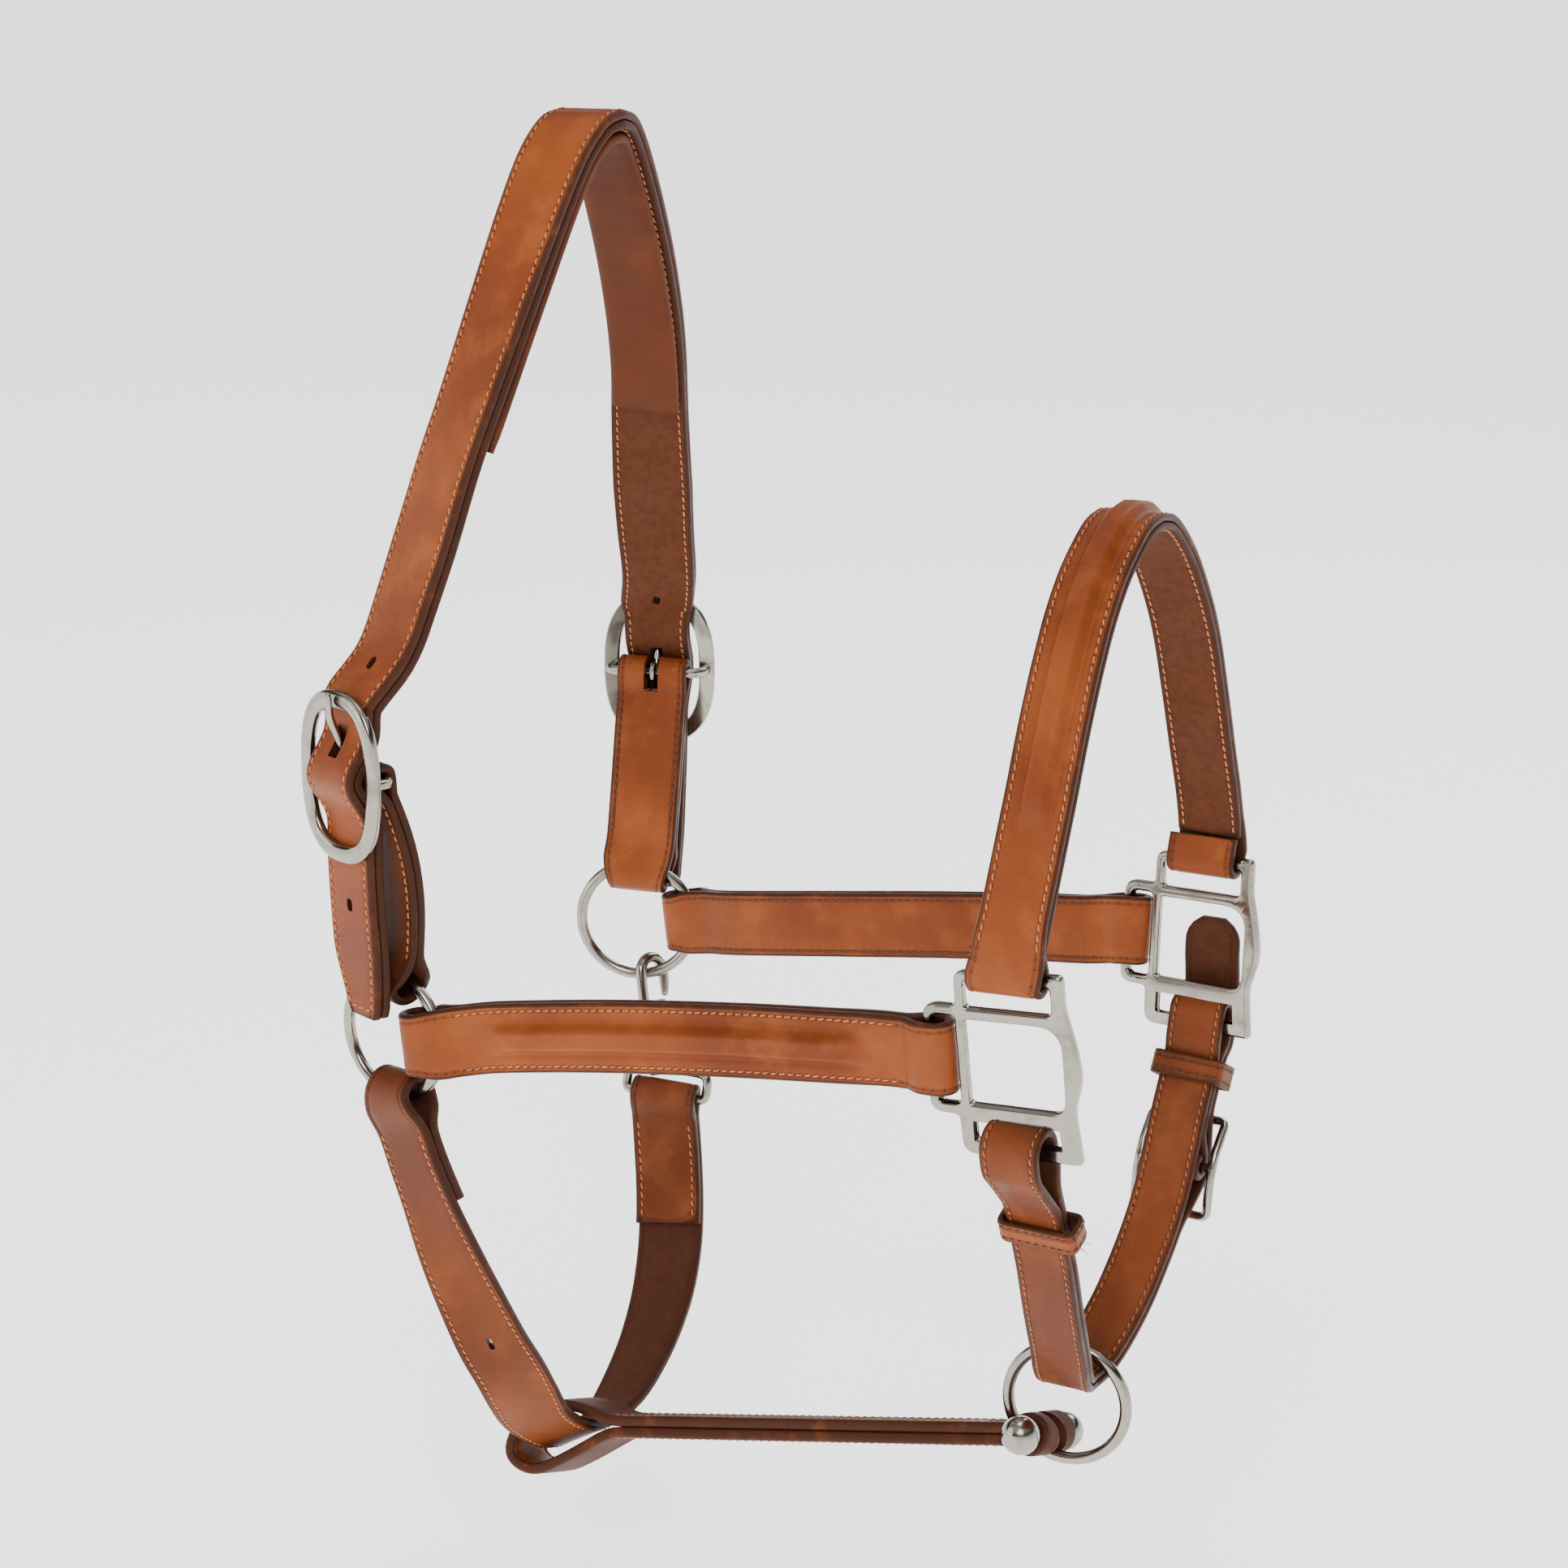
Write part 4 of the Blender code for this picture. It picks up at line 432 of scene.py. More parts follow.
def throat_spine():
    """The throat strap's middle, from the off ring's foot, under the jaw, up to the snap."""
    # x, y, z, twist about the vertical and rise of the front edge
    off = [
        (2.0, 81.6, -14.0, 10.0, 0.0), (2.6, 81.6, -28.0, 11.0, 0.0),
        (7.4, 80.8, -45.0, 10.0, 0.0), (13.6, 78.6, -64.0, 5.0, 2.0),
        (19.0, 74.8, -84.0, -7.0, 6.0), (23.8, 69.4, -103.4, -16.0, 14.0),
        (27.0, 62.6, -121.0, -23.0, 22.0), (29.0, 55.2, -134.6, -25.0, 27.0),
        (28.8, 46.8, -147.6, -22.0, 28.0), (27.0, 34.8, -161.8, -10.0, 27.0),
        (27.8, 17.8, -174.6, -5.0, 30.0),
    ]
    narrow = [
        (17.4, 75.6, -84.0), (22.0, 70.4, -103.4), (26.0, 63.6, -121.0), (28.4, 56.4, -134.6),
        (29.8, 47.4, -147.6), (30.0, 34.8, -161.6), (29.0, 18.0, -174.6),
    ]
    rises = [0.0, 3.0, 6.0, 9.0, 13.0, 17.0, 22.0]
    near = [(x - 0.8, -y, z, -14.0 * ease((z + 180.0) / 60.0), r)
            for (x, y, z), r in list(zip(narrow, rises))[::-1]]
    near[-1] = (17.4, -74.6, -84.0, -14.0, 0.0)
    near += [(17.6, -73.4, -74.0, -14.0, 0.0), (19.0, -71.6, -62.0, -14.0, 0.0)]
    route = off + [(27.2, 0.0, -179.8, 0.0, 30.0)] + near
    points = curve_through([(x, -y, z) for x, y, z, _, _ in route], 4)
    across = [unit(-t) + Vector((0.0, 0.0, math.tan(math.radians(r)))) for _, _, _, t, r in route]
    return Spine(points, curve_through(across, 4), 1.0)


def join_frame():
    """The joining strap's rear stitched point, the bolt's centre, and the strap's direction
    forward, across it to the near side, and upward."""
    rear, front = Vector((49.0, -11.6, -170.6)), Vector((223.0, -0.9, -136.7))
    along = (front - rear).normalized()
    across = Vector((0.0, cos_deg(JOIN_ROLL), -sin_deg(JOIN_ROLL)))
    across = (across - across.dot(along) * along).normalized()
    return rear, front, along, across


def fold(a_in, a_end, half, swell, over, hold=0.0, step=5.0):
    """One end of a folded strap: (distance, height) points from the inner ply at a_in, round a
    loop whose middle line is `swell` from the spine and ends at a_end, to the outer ply. The
    plies part over the length `over` and stay parted for the length `hold`."""
    way = 1.0 if a_end > a_in else -1.0
    centre = a_end - way * swell
    count = max(3, int(round(over / step)))
    side = []
    for i in range(count + 1):
        t = i / count
        side.append((centre - way * (hold + over * (1 - t)), half + (swell - half) * ease(t)))
    if hold > 0:
        side.append((centre, swell))
    bend = [(centre + way * swell * sin_deg(k),
             -swell * cos_deg(k)) for k in range(30, 180, 30)]
    inner = [(a, -half) for a in spread(a_in, side[0][0], 14.0)[:-1]]
    return inner + [(a, -b) for a, b in side] + bend + side[::-1] + [(a_in, half)]


def joined(start, middle, end):
    """A folded strap's whole route: one fold, its outer ply and the fold at the other end."""
    return start[:-1] + middle + end[::-1][1:]


def head_buckle_frame(side):
    """A head buckle's centre and its across, outward and upward directions."""
    s = SIDES[side]
    lean, out = level_axes(SIDE_TWIST, s)
    centre = Vector((0.0, s * SIDE_RING_Y, BUCKLE_Z))
    centre += lean * BUCKLE_FORWARD[side] + out * BUCKLE_OUT
    return centre, lean, out, Vector((0, 0, 1))


def tongue_slot(side):
    """A slanted slot for a head buckle's tongue through a billet, with room for it to lift."""
    origin, across, out, up = head_buckle_frame(side)
    bar = origin + out * (BAR_OUT - BUCKLE_OUT)
    low, high = bar + out * 3.3 + up * 2.4, bar + out * 10.9 + up * 20.0
    along = (high - low).normalized()
    thick = across.cross(along)
    thick = thick if thick.dot(out) > 0 else -thick
    return box(low.lerp(high, 0.5) + thick * 1.0, across, thick, along, TONGUE_SLOT)


def crown_stations(spine):
    """Distances along the crown: closer together where it bends."""
    inner = spine.near(lambda p: p.z > 132.0)
    top = spine.length / 2
    half = (spread(0.0, 44.0, 11.0)[:-1] + spread(44.0, inner, 3.2)[:-1]
            + spread(inner, top - 42.0, 11.0)[:-1] + spread(top - 42.0, top, 5.3))
    return half + [spine.length - a for a in half[-2::-1]]


def oval(steps):
    """Points and outward normals of a unit oval with slightly squared shoulders."""
    out = []
    for k in range(steps):
        a = 2 * math.pi * (k + 0.5) / steps
        c, s = math.cos(a), math.sin(a)
        u = math.copysign(abs(c) ** (2 / OVAL), c)
        v = math.copysign(abs(s) ** (2 / OVAL), s)
        nu = math.copysign(abs(u) ** (OVAL - 1), u) / BUCKLE_A
        nv = math.copysign(abs(v) ** (OVAL - 1), v) / BUCKLE_B
        out.append((u * BUCKLE_A, v * BUCKLE_B, Vector((nu, nv)).normalized()))
    return out


def tongue_path(origin, out, up, bar_r, wire, tip_out, tip_up):
    """A wire tongue: hooked round a bar at origin, then straight to its tip."""
    r = bar_r + 0.35 + wire
    hook = [origin + out * (r * cos_deg(a)) + up * (r * sin_deg(a))
            for a in range(-235, 31, 22)]
    tip = origin + out * tip_out + up * tip_up
    start = hook[-1]
    return hook + [start.lerp(tip, 0.25), start.lerp(tip, 0.5), start.lerp(tip, 0.75), tip]


def chin_layers():
    run = CHIN_PLY / 2 + GAP / 2
    return run, run + CHIN_PLY + GAP


def chin_buckle_place(spine):
    """Distance along the chin route of the chin buckle's centre bar."""
    return spine.near(lambda p: p.z > -46.0, spine.length / 2)


def eased(at, steps, low, high, reach, over, way=1.0):
    """Route points at those steps from `at`, easing from low to high as the steps shorten."""
    return [(at + way * d, low + (high - low) * ease((reach - d) / over)) for d in steps]


def chin_path(spine):
    """The chin strap's (distance, height) points: from its buckle up over the near square's
    foot bar, down inside, through the chin ring, over the off square's foot bar, back through
    the ring and up to its tip. Also the distance of its tip."""
    run, tip_b = chin_layers()
    bar_a = chin_buckle_place(spine)
    foot = {side: square_point(s, 0.0, -31.2) for side, s in SIDES.items()}
    off_a = spine.near(lambda p: p.z < foot["off"].z)
    near_a = spine.near(lambda p: p.z > foot["near"].z, spine.length / 2)
    hook_r = 1.7 + 0.5 + CHIN_PLY / 2
    near_r, off_out, off_in = 4.8, 9.6, 4.9
    lift = CHIN_BUCKLE_OUT
    # the chape: tucked behind the buckle's bar, round it, and up to the near foot bar
    path = [(bar_a - hook_r * cos_deg(k), lift + hook_r * sin_deg(k))
            for k in range(-150, 91, 30)]
    path += eased(bar_a, (4.0, 6.5, 9.0, 11.5, 14.0), run, lift + hook_r, 13.0, 11.0)
    path += [(a, run) for a in spread(bar_a + 20.0, near_a - 14.0, 9.0)]
    path += eased(near_a, (11.0, 9.0, 7.0, 5.0, 3.0), run, near_r, 11.0, 8.0, -1.0)
    path += [(near_a + 5.0 + near_r * sin_deg(k), near_r * cos_deg(k))
             for k in range(0, 181, 30)]
    path += eased(near_a, (3.0, 6.0, 9.0, 12.0, 15.0), -run, -near_r, 14.0, 11.0, -1.0)
    path += [(a, -run) for a in spread(near_a - 24.0, off_a + 26.0, 7.5)]
    # the loose loop over the off foot bar
    middle_b = 0.5 * (off_out - off_in)
    loop_r = 0.5 * (off_out + off_in)
    path += eased(off_a, (17.0, 14.0, 10.5, 7.0, 3.0), -run, -off_in, 17.0, 14.0)
    path += [(off_a - 2.4 - loop_r * cos_deg(k),
              middle_b + loop_r * sin_deg(k)) for k in range(-90, 91, 30)]
    path += [(off_a + d, run + (off_out - run) * ((25.0 - d) / 22.0) ** 1.15)
             for d in (3.0, 7.0, 12.0, 16.0, 20.0, 25.0)]
    path += [(a, run) for a in spread(off_a + 36.0, bar_a - 27.0, 7.5)]
    # the billet: behind the frame's foot, over its bar, behind its head, outside the square
    crest = lift + hook_r + CHIN_PLY + GAP + 0.1
    for d in (-22.0, -18.0, -14.0, -10.0, -6.0, -2.0, 2.0, 6.0, 10.0, 14.0, 18.0, 22.0):
        low, reach = (run, 25.0) if d < 0 else (tip_b, 24.0)
        path.append((bar_a + d, low + (crest - low) * ease((reach - abs(d)) / reach)))
    out = near_r + CHIN_PLY + GAP + 0.1
    path += [(a, tip_b) for a in spread(bar_a + 28.0, near_a - 13.0, 8.0)]
    path += eased(near_a, (9.0, 7.0, 5.0, 3.0, -3.0, -10.0), tip_b, out, 11.0, 8.0, -1.0)
    path += eased(near_a, (18.0, 25.0, 32.0, 39.5), tip_b, out, 30.0, 20.0)
    return path, near_a + 39.5


def keeper_places(spine):
    """Each keeper's name, distance, lower and upper heights, width and shift forward."""
    run, tip_b = chin_layers()
    ply = CHIN_PLY / 2
    off_a = spine.near(lambda p: p.z < OFF_KEEPER_Z)
    near_a = spine.near(lambda p: p.z > NEAR_KEEPER_Z, spine.length / 2)
    return [("off_chin_keeper", off_a, -run - ply, run + ply, 28.6, 1.2),
            ("near_chin_keeper", near_a, -run - ply - 0.3, tip_b + ply + 0.5, 27.6, 0.0)]


def join_spine():
    rear, front, along, across = join_frame()
    points = [rear + along * d for d in spread(-50.0, (front - rear).length + 12.0, 12.0)]
    return Spine(points, [across] * len(points), 1.0)


def join_route(gap):
    """The joining strap's points, with its plies and its ends that far apart: a slanting loop
    round the throat strap behind and one round the bolt in front. Also its half height."""
    rear, front, _, _ = join_frame()
    half = JOIN_PLY / 2 + gap / 2
    bolt_a = 50.0 + (front - rear).length
    bolt_swell = BOLT_R + 0.5 + JOIN_PLY / 2
    joint = 130.0
    loop = [(joint - gap, half), (75.0, half), (57.0, half), (50.0, half + 0.9),
            (44.0, half + 3.3), (36.0, 7.4), (26.0, 7.4), (16.5, 3.6), (10.0, -2.4),
            (7.4, -8.6), (9.2, -13.2), (15.0, -16.2), (22.0, -16.1), (32.0, -12.2),
            (42.0, -7.4), (50.0, -3.6), (57.0, -half), (75.0, -half)]
    front_loop = fold(joint + gap, bolt_a + bolt_swell, half, bolt_swell, 12.0, 0.0, 4.0)
    return loop + front_loop, half


def snap_frame(spine):
    """The snap's hook centre on the near ring, its bar in the throat strap and the direction
    along that bar, then the snap's upward direction, the one from its shank to its nose, and
    the hinge's."""
    h = unit(RING_TURN["near"])
    low = 15.0                          # degrees from the ring's lowest point forward
    centre = Vector((0.0, SIDE_RING_Y, 0.0)) + h * (RING_R * sin_deg(low))
    centre.z = SIDE_RING_Z["near"] - RING_R * cos_deg(low)
    d_bar, w, _ = spine.at(spine.length - D_BAR)
    up = (centre - d_bar).normalized()
    toward = unit(78.0)
    toward = (toward - toward.dot(up) * up).normalized()
    return centre, d_bar, w, up, toward, up.cross(toward)


# ---- making pieces ------------------------------------------------------------------------
def new_object(name, mesh, look, body):
    mesh.materials.append(look)
    obj = bpy.data.objects.new(name, mesh)
    bpy.context.scene.collection.objects.link(obj)
    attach(obj, body)
    return obj


def finish_object(name, bm, look, body="headcollar", sharp=40.0):
    """A smooth-shaded piece from bm, riding on a body of the frame."""
    bmesh.ops.recalc_face_normals(bm, faces=bm.faces)
    mesh = bpy.data.meshes.new(name)
    bm.to_mesh(mesh)
    bm.free()
    mesh.shade_smooth()
    mesh.set_sharp_from_angle(angle=math.radians(sharp))
    return new_object(name, mesh, look, body)


def loft(rings, closed=False, marks=None, bm=None):
    """Skin equal rings of design points, in bm or a new one. marks holds, for each ring, its
    distance along the strap, and for each of its points the distance from the edge and the
    flesh side's share."""
    bm = bmesh.new() if bm is None else bm
    if marks:
        along = bm.verts.layers.float.new("along")
        inset = bm.verts.layers.float.new("inset")
        flesh = bm.verts.layers.float.new("flesh")
    rows = [[bm.verts.new(put(p)) for p in ring] for ring in rings]
    n = len(rows[0])
    if marks:
        for row, (a, points) in zip(rows, marks):
            for vert, (d, f) in zip(row, points):
                vert[along], vert[inset], vert[flesh] = a, d, f
    for a, b in zip(rows, rows[1:] + (rows[:1] if closed else [])):
        for i in range(n):
            j = (i + 1) % n
            bm.faces.new((a[i], a[j], b[j], b[i]))
    if not closed:
        bm.faces.new(rows[0][::-1])
        bm.faces.new(rows[-1])
    return bm


def finer(route, per=3):
    """The route's (distance, height) points with a smooth curve between them."""
    pts = curve_through([Vector((a, b, 0.0)) for a, b in route], per)
    return [(p.x, p.y) for p in pts]


def profile(lo, hi, thick, edge, groove, rise=0.0, base=5.8, both=False):
    """A strap's section with rounded edges and a shallow groove for each row of stitches.
    Returns (across, height) points and the marks of each."""
    r = min(edge, 0.48 * thick)
    top = 0.5 * thick

    def height(u):
        x = min(1.0, abs(u) / base)
        lift = rise * (1.0 - ease((x - 0.42) / 0.58)) if rise > 0 else 0.0
        return lift - 0.35 * min(1.0, rise) * math.exp(-((abs(u) - base * 1.05) / 0.5) ** 2)

    def dip(d):
        return 0.28 * math.exp(-((d - groove) / 0.42) ** 2)

    steps = [0.0, 0.18, 0.36, 0.46, 0.56, 0.66, 0.76, 0.86, 0.95, 1.05, 1.15]
    beside = (-0.7, -0.35, 0.0, 0.35, 0.7)
    room = min(hi, -lo) - max(groove, r) - 0.9
    share = min(1.0, max(0.05, room / (1.16 * base)))
    places = [lo + r] + [lo + groove + k for k in beside]
    places += [-base * share * k for k in steps[:0:-1]] + [base * share * k for k in steps]
    places += [hi - groove + k for k in beside] + [hi - r]
    shape, marks = [], []

    def corner(u, v, degrees, flesh):
        for k in degrees:
            shape.append((u + r * cos_deg(k), v + r * sin_deg(k)))
            marks.append((0.0, flesh))

    corner(lo + r, -top + r, (180, 205, 230, 255), 0.5)
    for u in places:
        d = min(u - lo, hi - u)
        shape.append((u, -top + (dip(d) if both else 0.0)))
        marks.append((d, 1.0))
    corner(hi - r, -top + r, (285, 310, 335, 360), 0.5)
    corner(hi - r, top - r, (25, 50, 75), 0.0)
    for u in places[::-1]:
        d = min(u - lo, hi - u)
        shape.append((u, top + height(u) - dip(d)))
        marks.append((d, 0.0))
    corner(lo + r, top - r, (105, 130, 155), 0.0)
    return shape, marks


def strap_rings(spine, route, section, butt=False):
    """Sections and marks of a strap along route; section(a, b) gives its points and marks."""
    pts, frames, normals = [], [], []
    for a, b in route:
        p, w, n = spine.at(a)
        pts.append(p + n * b)
        frames.append(w)
        normals.append(n)
    rings, marks = [], []
    last = len(pts) - 1
    gone = 0.0
    for i, (p, w) in enumerate(zip(pts, frames)):
        before, after = max(i - 1, 0), min(i + 1, last)
        t = (pts[after] - pts[before]).normalized()
        n = spine.flip * t.cross(w).normalized()
        if abs(route[before][1] - route[after][1]) < 1e-4:
            n = normals[i] if n.dot(normals[i]) > 0 else -normals[i]
        shape, mark = section(*route[i])
        rings.append([p + w * u + n * v for u, v in shape])
        gone += (p - pts[i - 1]).length if i else 0.0
        if i in (0, last) and not butt:
            mark = [(0.0, f) for _, f in mark]
        marks.append((gone, mark))
    return rings, marks


def halves(width, a):
    """A strap's two edges, from a number, a width function or a function of both edges."""
    value = width(a) if callable(width) else width
    return value if isinstance(value, tuple) else (-0.5 * value, 0.5 * value)


def strap(name, spine, route, width, thick, look, groove=INSET, edge=EDGE, lift=None,
          both=False, butt=False):
    """A strap or a folded strip with rounded edges; lift(a, b) is its raised centre's height.
    With butt its two ends meet in a closed seam that doesn't show."""
    def section(a, b):
        lo, hi = halves(width, a)
        return profile(lo, hi, thick, edge, groove, lift(a, b) if lift else 0.0, both=both)

    rings, marks = strap_rings(spine, finer(route), section, butt)
    return finish_object(name, loft(rings, marks=marks), look, sharp=55.0)


def tube(points, radius, up):
    return loft(tube_rings(points, radius, WIRE_SIDES, up))


def smooth_tube(points, radius, sides, up, bm=None):
    """A tube along a smooth curve through the points, with its ends rounded off; radius holds
    one value for each point."""
    pts = curve_through(points, 4)
    radii = [v.x for v in curve_through([(r, 0.0, 0.0) for r in radius], 4)]
    ends = []
    for p, q, r in ((pts[0], pts[1], radii[0]), (pts[-1], pts[-2], radii[-1])):
        away = (p - q).normalized()
        ends.append([(p + away * (r * math.sin(k)), r * math.cos(k)) for k in (0.45, 0.9, 1.3)])
    pts = [p for p, _ in ends[0][::-1]] + pts + [p for p, _ in ends[1]]
    radii = [r for _, r in ends[0][::-1]] + radii + [r for _, r in ends[1]]
    return loft(tube_rings(pts, radii, sides, up), bm=bm)


def combine(obj, bm, operation="DIFFERENCE", touching=False):
    """Join or cut obj with the shape in bm, at once."""
    bmesh.ops.recalc_face_normals(bm, faces=bm.faces)
    mesh = bpy.data.meshes.new("tool")
    bm.to_mesh(mesh)
    bm.free()
    tool = bpy.data.objects.new("tool", mesh)
    bpy.context.scene.collection.objects.link(tool)
    mod = obj.modifiers.new("tool", "BOOLEAN")
    mod.operation, mod.solver, mod.object = operation, "EXACT", tool
    mod.use_self = touching
    bpy.context.view_layer.update()
    graph = bpy.context.evaluated_depsgraph_get()
    result = bpy.data.meshes.new_from_object(obj.evaluated_get(graph))
    obj.modifiers.remove(mod)
    old = obj.data
    obj.data = result
    bpy.data.meshes.remove(old)
    bpy.data.objects.remove(tool)
    bpy.data.meshes.remove(mesh)
    obj.data.shade_smooth()
    obj.data.set_sharp_from_angle(angle=math.radians(40))


def wire_loop(corners, steps, wire, place):
    """A closed loop of round wire along a rounded outline. place(u, v, du, dv, h) is the design
    point at du, dv and h from the outline's own point u, v."""
    loop = rounded(corners, steps)
    rings = []
    for i, (u, v) in enumerate(loop):
        d = (Vector(loop[(i + 1) % len(loop)]) - Vector(loop[i - 1])).normalized()
        ring = []
        for a in turn(WIRE_SIDES):
            off = Vector((d.y, -d.x)) * (wire * math.cos(a))
            ring.append(place(u, v, off.x, off.y, wire * math.sin(a)))
        rings.append(ring)
    return loft(rings, closed=True)


def box(centre, u, v, w, size, soft=0.0):
    """A box about a design point with unit axes u, v, w and full sizes; soft is the radius of
    its edges along w."""
    corners = [(-0.5, -0.5), (0.5, -0.5), (0.5, 0.5), (-0.5, 0.5)]
    outline = [(i * size[0], j * size[1], soft) for i, j in corners]
    outline = rounded(outline, 6) if soft else [(a, b) for a, b, _ in outline]
    return loft([[centre + w * (k * size[2]) + u * a + v * b for a, b in outline]
                 for k in (-0.5, 0.5)])


def stitches(name, rows, look, body="headcollar", length=2.5, gap=0.75, wire=0.36):
    """Rows of thread. Each row is a list of (point, outward) along its path, in design mm."""
    verts, faces = [], []
    shape = ((-0.5, -0.42, 0.55), (-0.3, 0.0, 0.95), (0.0, 0.14, 1.0), (0.3, 0.0, 0.95),
             (0.5, -0.42, 0.55))
    for row in rows:
        pts = [Vector(p) for p, _ in row]
        sums = [0.0]
        for p, q in zip(pts, pts[1:]):
            sums.append(sums[-1] + (q - p).length)
        count = int((sums[-1] + gap) / (length + gap))
        if count < 1:
            continue
        pitch = (sums[-1] + gap) / count
        i = 0
        for k in range(count):
            middle = k * pitch + 0.5 * (pitch - gap)
            while i < len(sums) - 2 and sums[i + 1] < middle:
                i += 1
            t = (middle - sums[i]) / max(1e-6, sums[i + 1] - sums[i])
            p = pts[i].lerp(pts[i + 1], t)
            n = row[i][1].lerp(row[i + 1][1], t).normalized()
            way = (pts[i + 1] - pts[i]).normalized()
            side = n.cross(way).normalized()
            way = (way + side * (0.16 + 0.05 * math.sin(7.3 * k))).normalized()
            side = n.cross(way).normalized()
            base = len(verts)
            for along, lift, fat in shape:
                mid = p + way * (along * (pitch - gap)) + n * (lift * wire * 2.0)
                for a in (0, 60, 120, 180, 240, 300):
                    c, s = cos_deg(a), sin_deg(a)
                    verts.append(put(mid + side * (wire * fat * c) + n * (wire * fat * s)))
            for ring in range(4):
                for a in range(6):
                    b = (a + 1) % 6
                    first = base + ring * 6
                    faces.append((first + a, first + b, first + 6 + b, first + 6 + a))
            faces.append(tuple(base + a for a in range(5, -1, -1)))
            faces.append(tuple(base + 24 + a for a in range(6)))
    mesh = bpy.data.meshes.new(name)
    mesh.from_pydata(verts, [], faces)
    mesh.update()
    mesh.shade_smooth()
    new_object(name, mesh, look, body)


def edge_rows(spine, height, way, start, end, width, inset=INSET):
    """Two rows of stitches along a strap's edges between two distances, on its face at that
    height; way is 1 on an outer face and -1 on an inner one."""
    rows = []
    for side, inward in ((0, inset), (1, -inset)):
        row = []
        for a in spread(start, end, 3.0):
            p, w, n = spine.at(a)
            across = halves(width, a)[side] + inward
            row.append((p + w * across + n * (height - way * THREAD_DEEP), n * way))
        rows.append(row)
    return rows


def cross_row(spine, a, height, way, lo, hi):
    """A row of stitches straight across a strap."""
    p, w, n = spine.at(a)
    return [(p + w * u + n * height, n * way) for u in spread(lo, hi, 3.0)]


def two_threads(name, outer, inner, looks):
    """Pale thread in the outer face's rows and dark thread in the inner face's rows."""
    for part, rows, look in (("outer", outer, "thread"), ("inner", inner, "thread_dark")):
        stitches("%s_%s_thread" % (name, part), rows, looks[look])


# ---- crown --------------------------------------------------------------------------------
def crown_edges(spine):
    """The crown's edges: each billet is straight in front and tapers behind towards its end."""
    middle = spine.near(lambda p: p.z > 180.0)

    def width(a):
        edge = min(a, spine.length - a)
        wider = CROWN_WIDER * max(0.0, 1.0 - abs(edge - middle) / 45.0)
        full = CROWN_W + wider - BILLET_SLIM * ease((125.0 - edge) / 15.0)
        taper = (CROWN_W - BILLET_TIP_W - 1.2) * ease((26.0 - edge) / 30.0)
        corner = 1.2 * (1.0 - math.sqrt(max(0.0, 1.0 - max(0.0, 1.0 - edge / 1.2) ** 2)))
        return -0.5 * full + taper + corner, 0.5 * full - 0.15 * taper - corner
    return width


def crown(spine, looks):
    """The crown strap's two plies, slotted for the tongues, with their holes and stitches."""
    route = crown_stations(spine)
    width = crown_edges(spine)
    inset = 2.6
    outer = strap("crown_outer", spine, [(a, -CROWN_PLY / 2) for a in route], width, CROWN_PLY,
                  looks["leather"], inset, 1.3)
    low = -CROWN_PLY - PLIES_APART - CROWN_PLY / 2
    inner = strap("crown_inner", spine, [(a, low) for a in route], width, CROWN_PLY,
                  looks["lining"], inset, 1.3, both=True)
    for side in SIDES:
        for obj in (outer, inner):
            combine(obj, tongue_slot(side))
    holes = [(spine.near(lambda p: p.z > z), "off") for z in (53.0, 139.5)]
    holes += [(spine.near(lambda p: p.z < z, spine.length / 2), "near") for z in (134.0, 53.0)]
    for a, _ in holes:
        p, w, n = spine.at(a)
        t = n.cross(w).normalized()
        for obj in (outer, inner):
            combine(obj, box(p - n * 3.4, w, t, n, HOLE, 1.4))
    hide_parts("crown_strap")
    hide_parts("crown_lining")
    rows = []
    end = spine.length
    for height, way in ((0.0, 1.0), (low - CROWN_PLY / 2, -1.0)):
        rows += edge_rows(spine, height, way, 3.6, end - 3.6, width, inset)
        for a in (3.0, end - 3.0):
            lo, hi = width(a)
            rows.append(cross_row(spine, a, height - way * THREAD_DEEP, way, lo + 3.4, hi - 3.4))
    stitches("crown_thread", rows, looks["thread"])
    pad(spine, looks)


def pad(spine, looks):
    """The soft sleeve under the poll: a flat stuffed tube, gathered a little at its ends."""
    start = spine.near(lambda p: p.z > PAD_END_Z)
    end = spine.near(lambda p: p.z < PAD_END_Z, spine.length / 2)
    thick = 2 * PAD_COVER + 2 * GAP + PAD_FOAM
    middle = -2 * CROWN_PLY - GAP - thick / 2
    stations = spread(start, end, 2.4)

    def section(a, b):
        near_end = min(a - start, end - a)
        full = 0.72 + 0.28 * ease(near_end / 7.0)
        crease = 0.16 * math.sin(a * 0.55) * math.sin(a * 0.173 + 1.0)
        shape, marks = [], []
        half = 0.5 * PAD_W - 0.3
        for k in range(36):
            ang = 2 * math.pi * (k + 0.5) / 36
            c, s = math.cos(ang), math.sin(ang)
            u = half * math.copysign(abs(c) ** 0.55, c)
            v = 0.5 * thick * math.copysign(abs(s) ** 0.62, s) * full
            if s < 0:
                v += crease * (1.0 - (u / half) ** 2)
            shape.append((u, v))
            marks.append((min(3.0, half - abs(u)), 0.0))
        return shape, marks

    rings, marks = strap_rings(spine, [(a, middle) for a in stations], section)
    obj = finish_object("poll_pad", loft(rings, marks=marks), looks["soft"])
    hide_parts("poll_pad_cover", "poll_pad_foam")


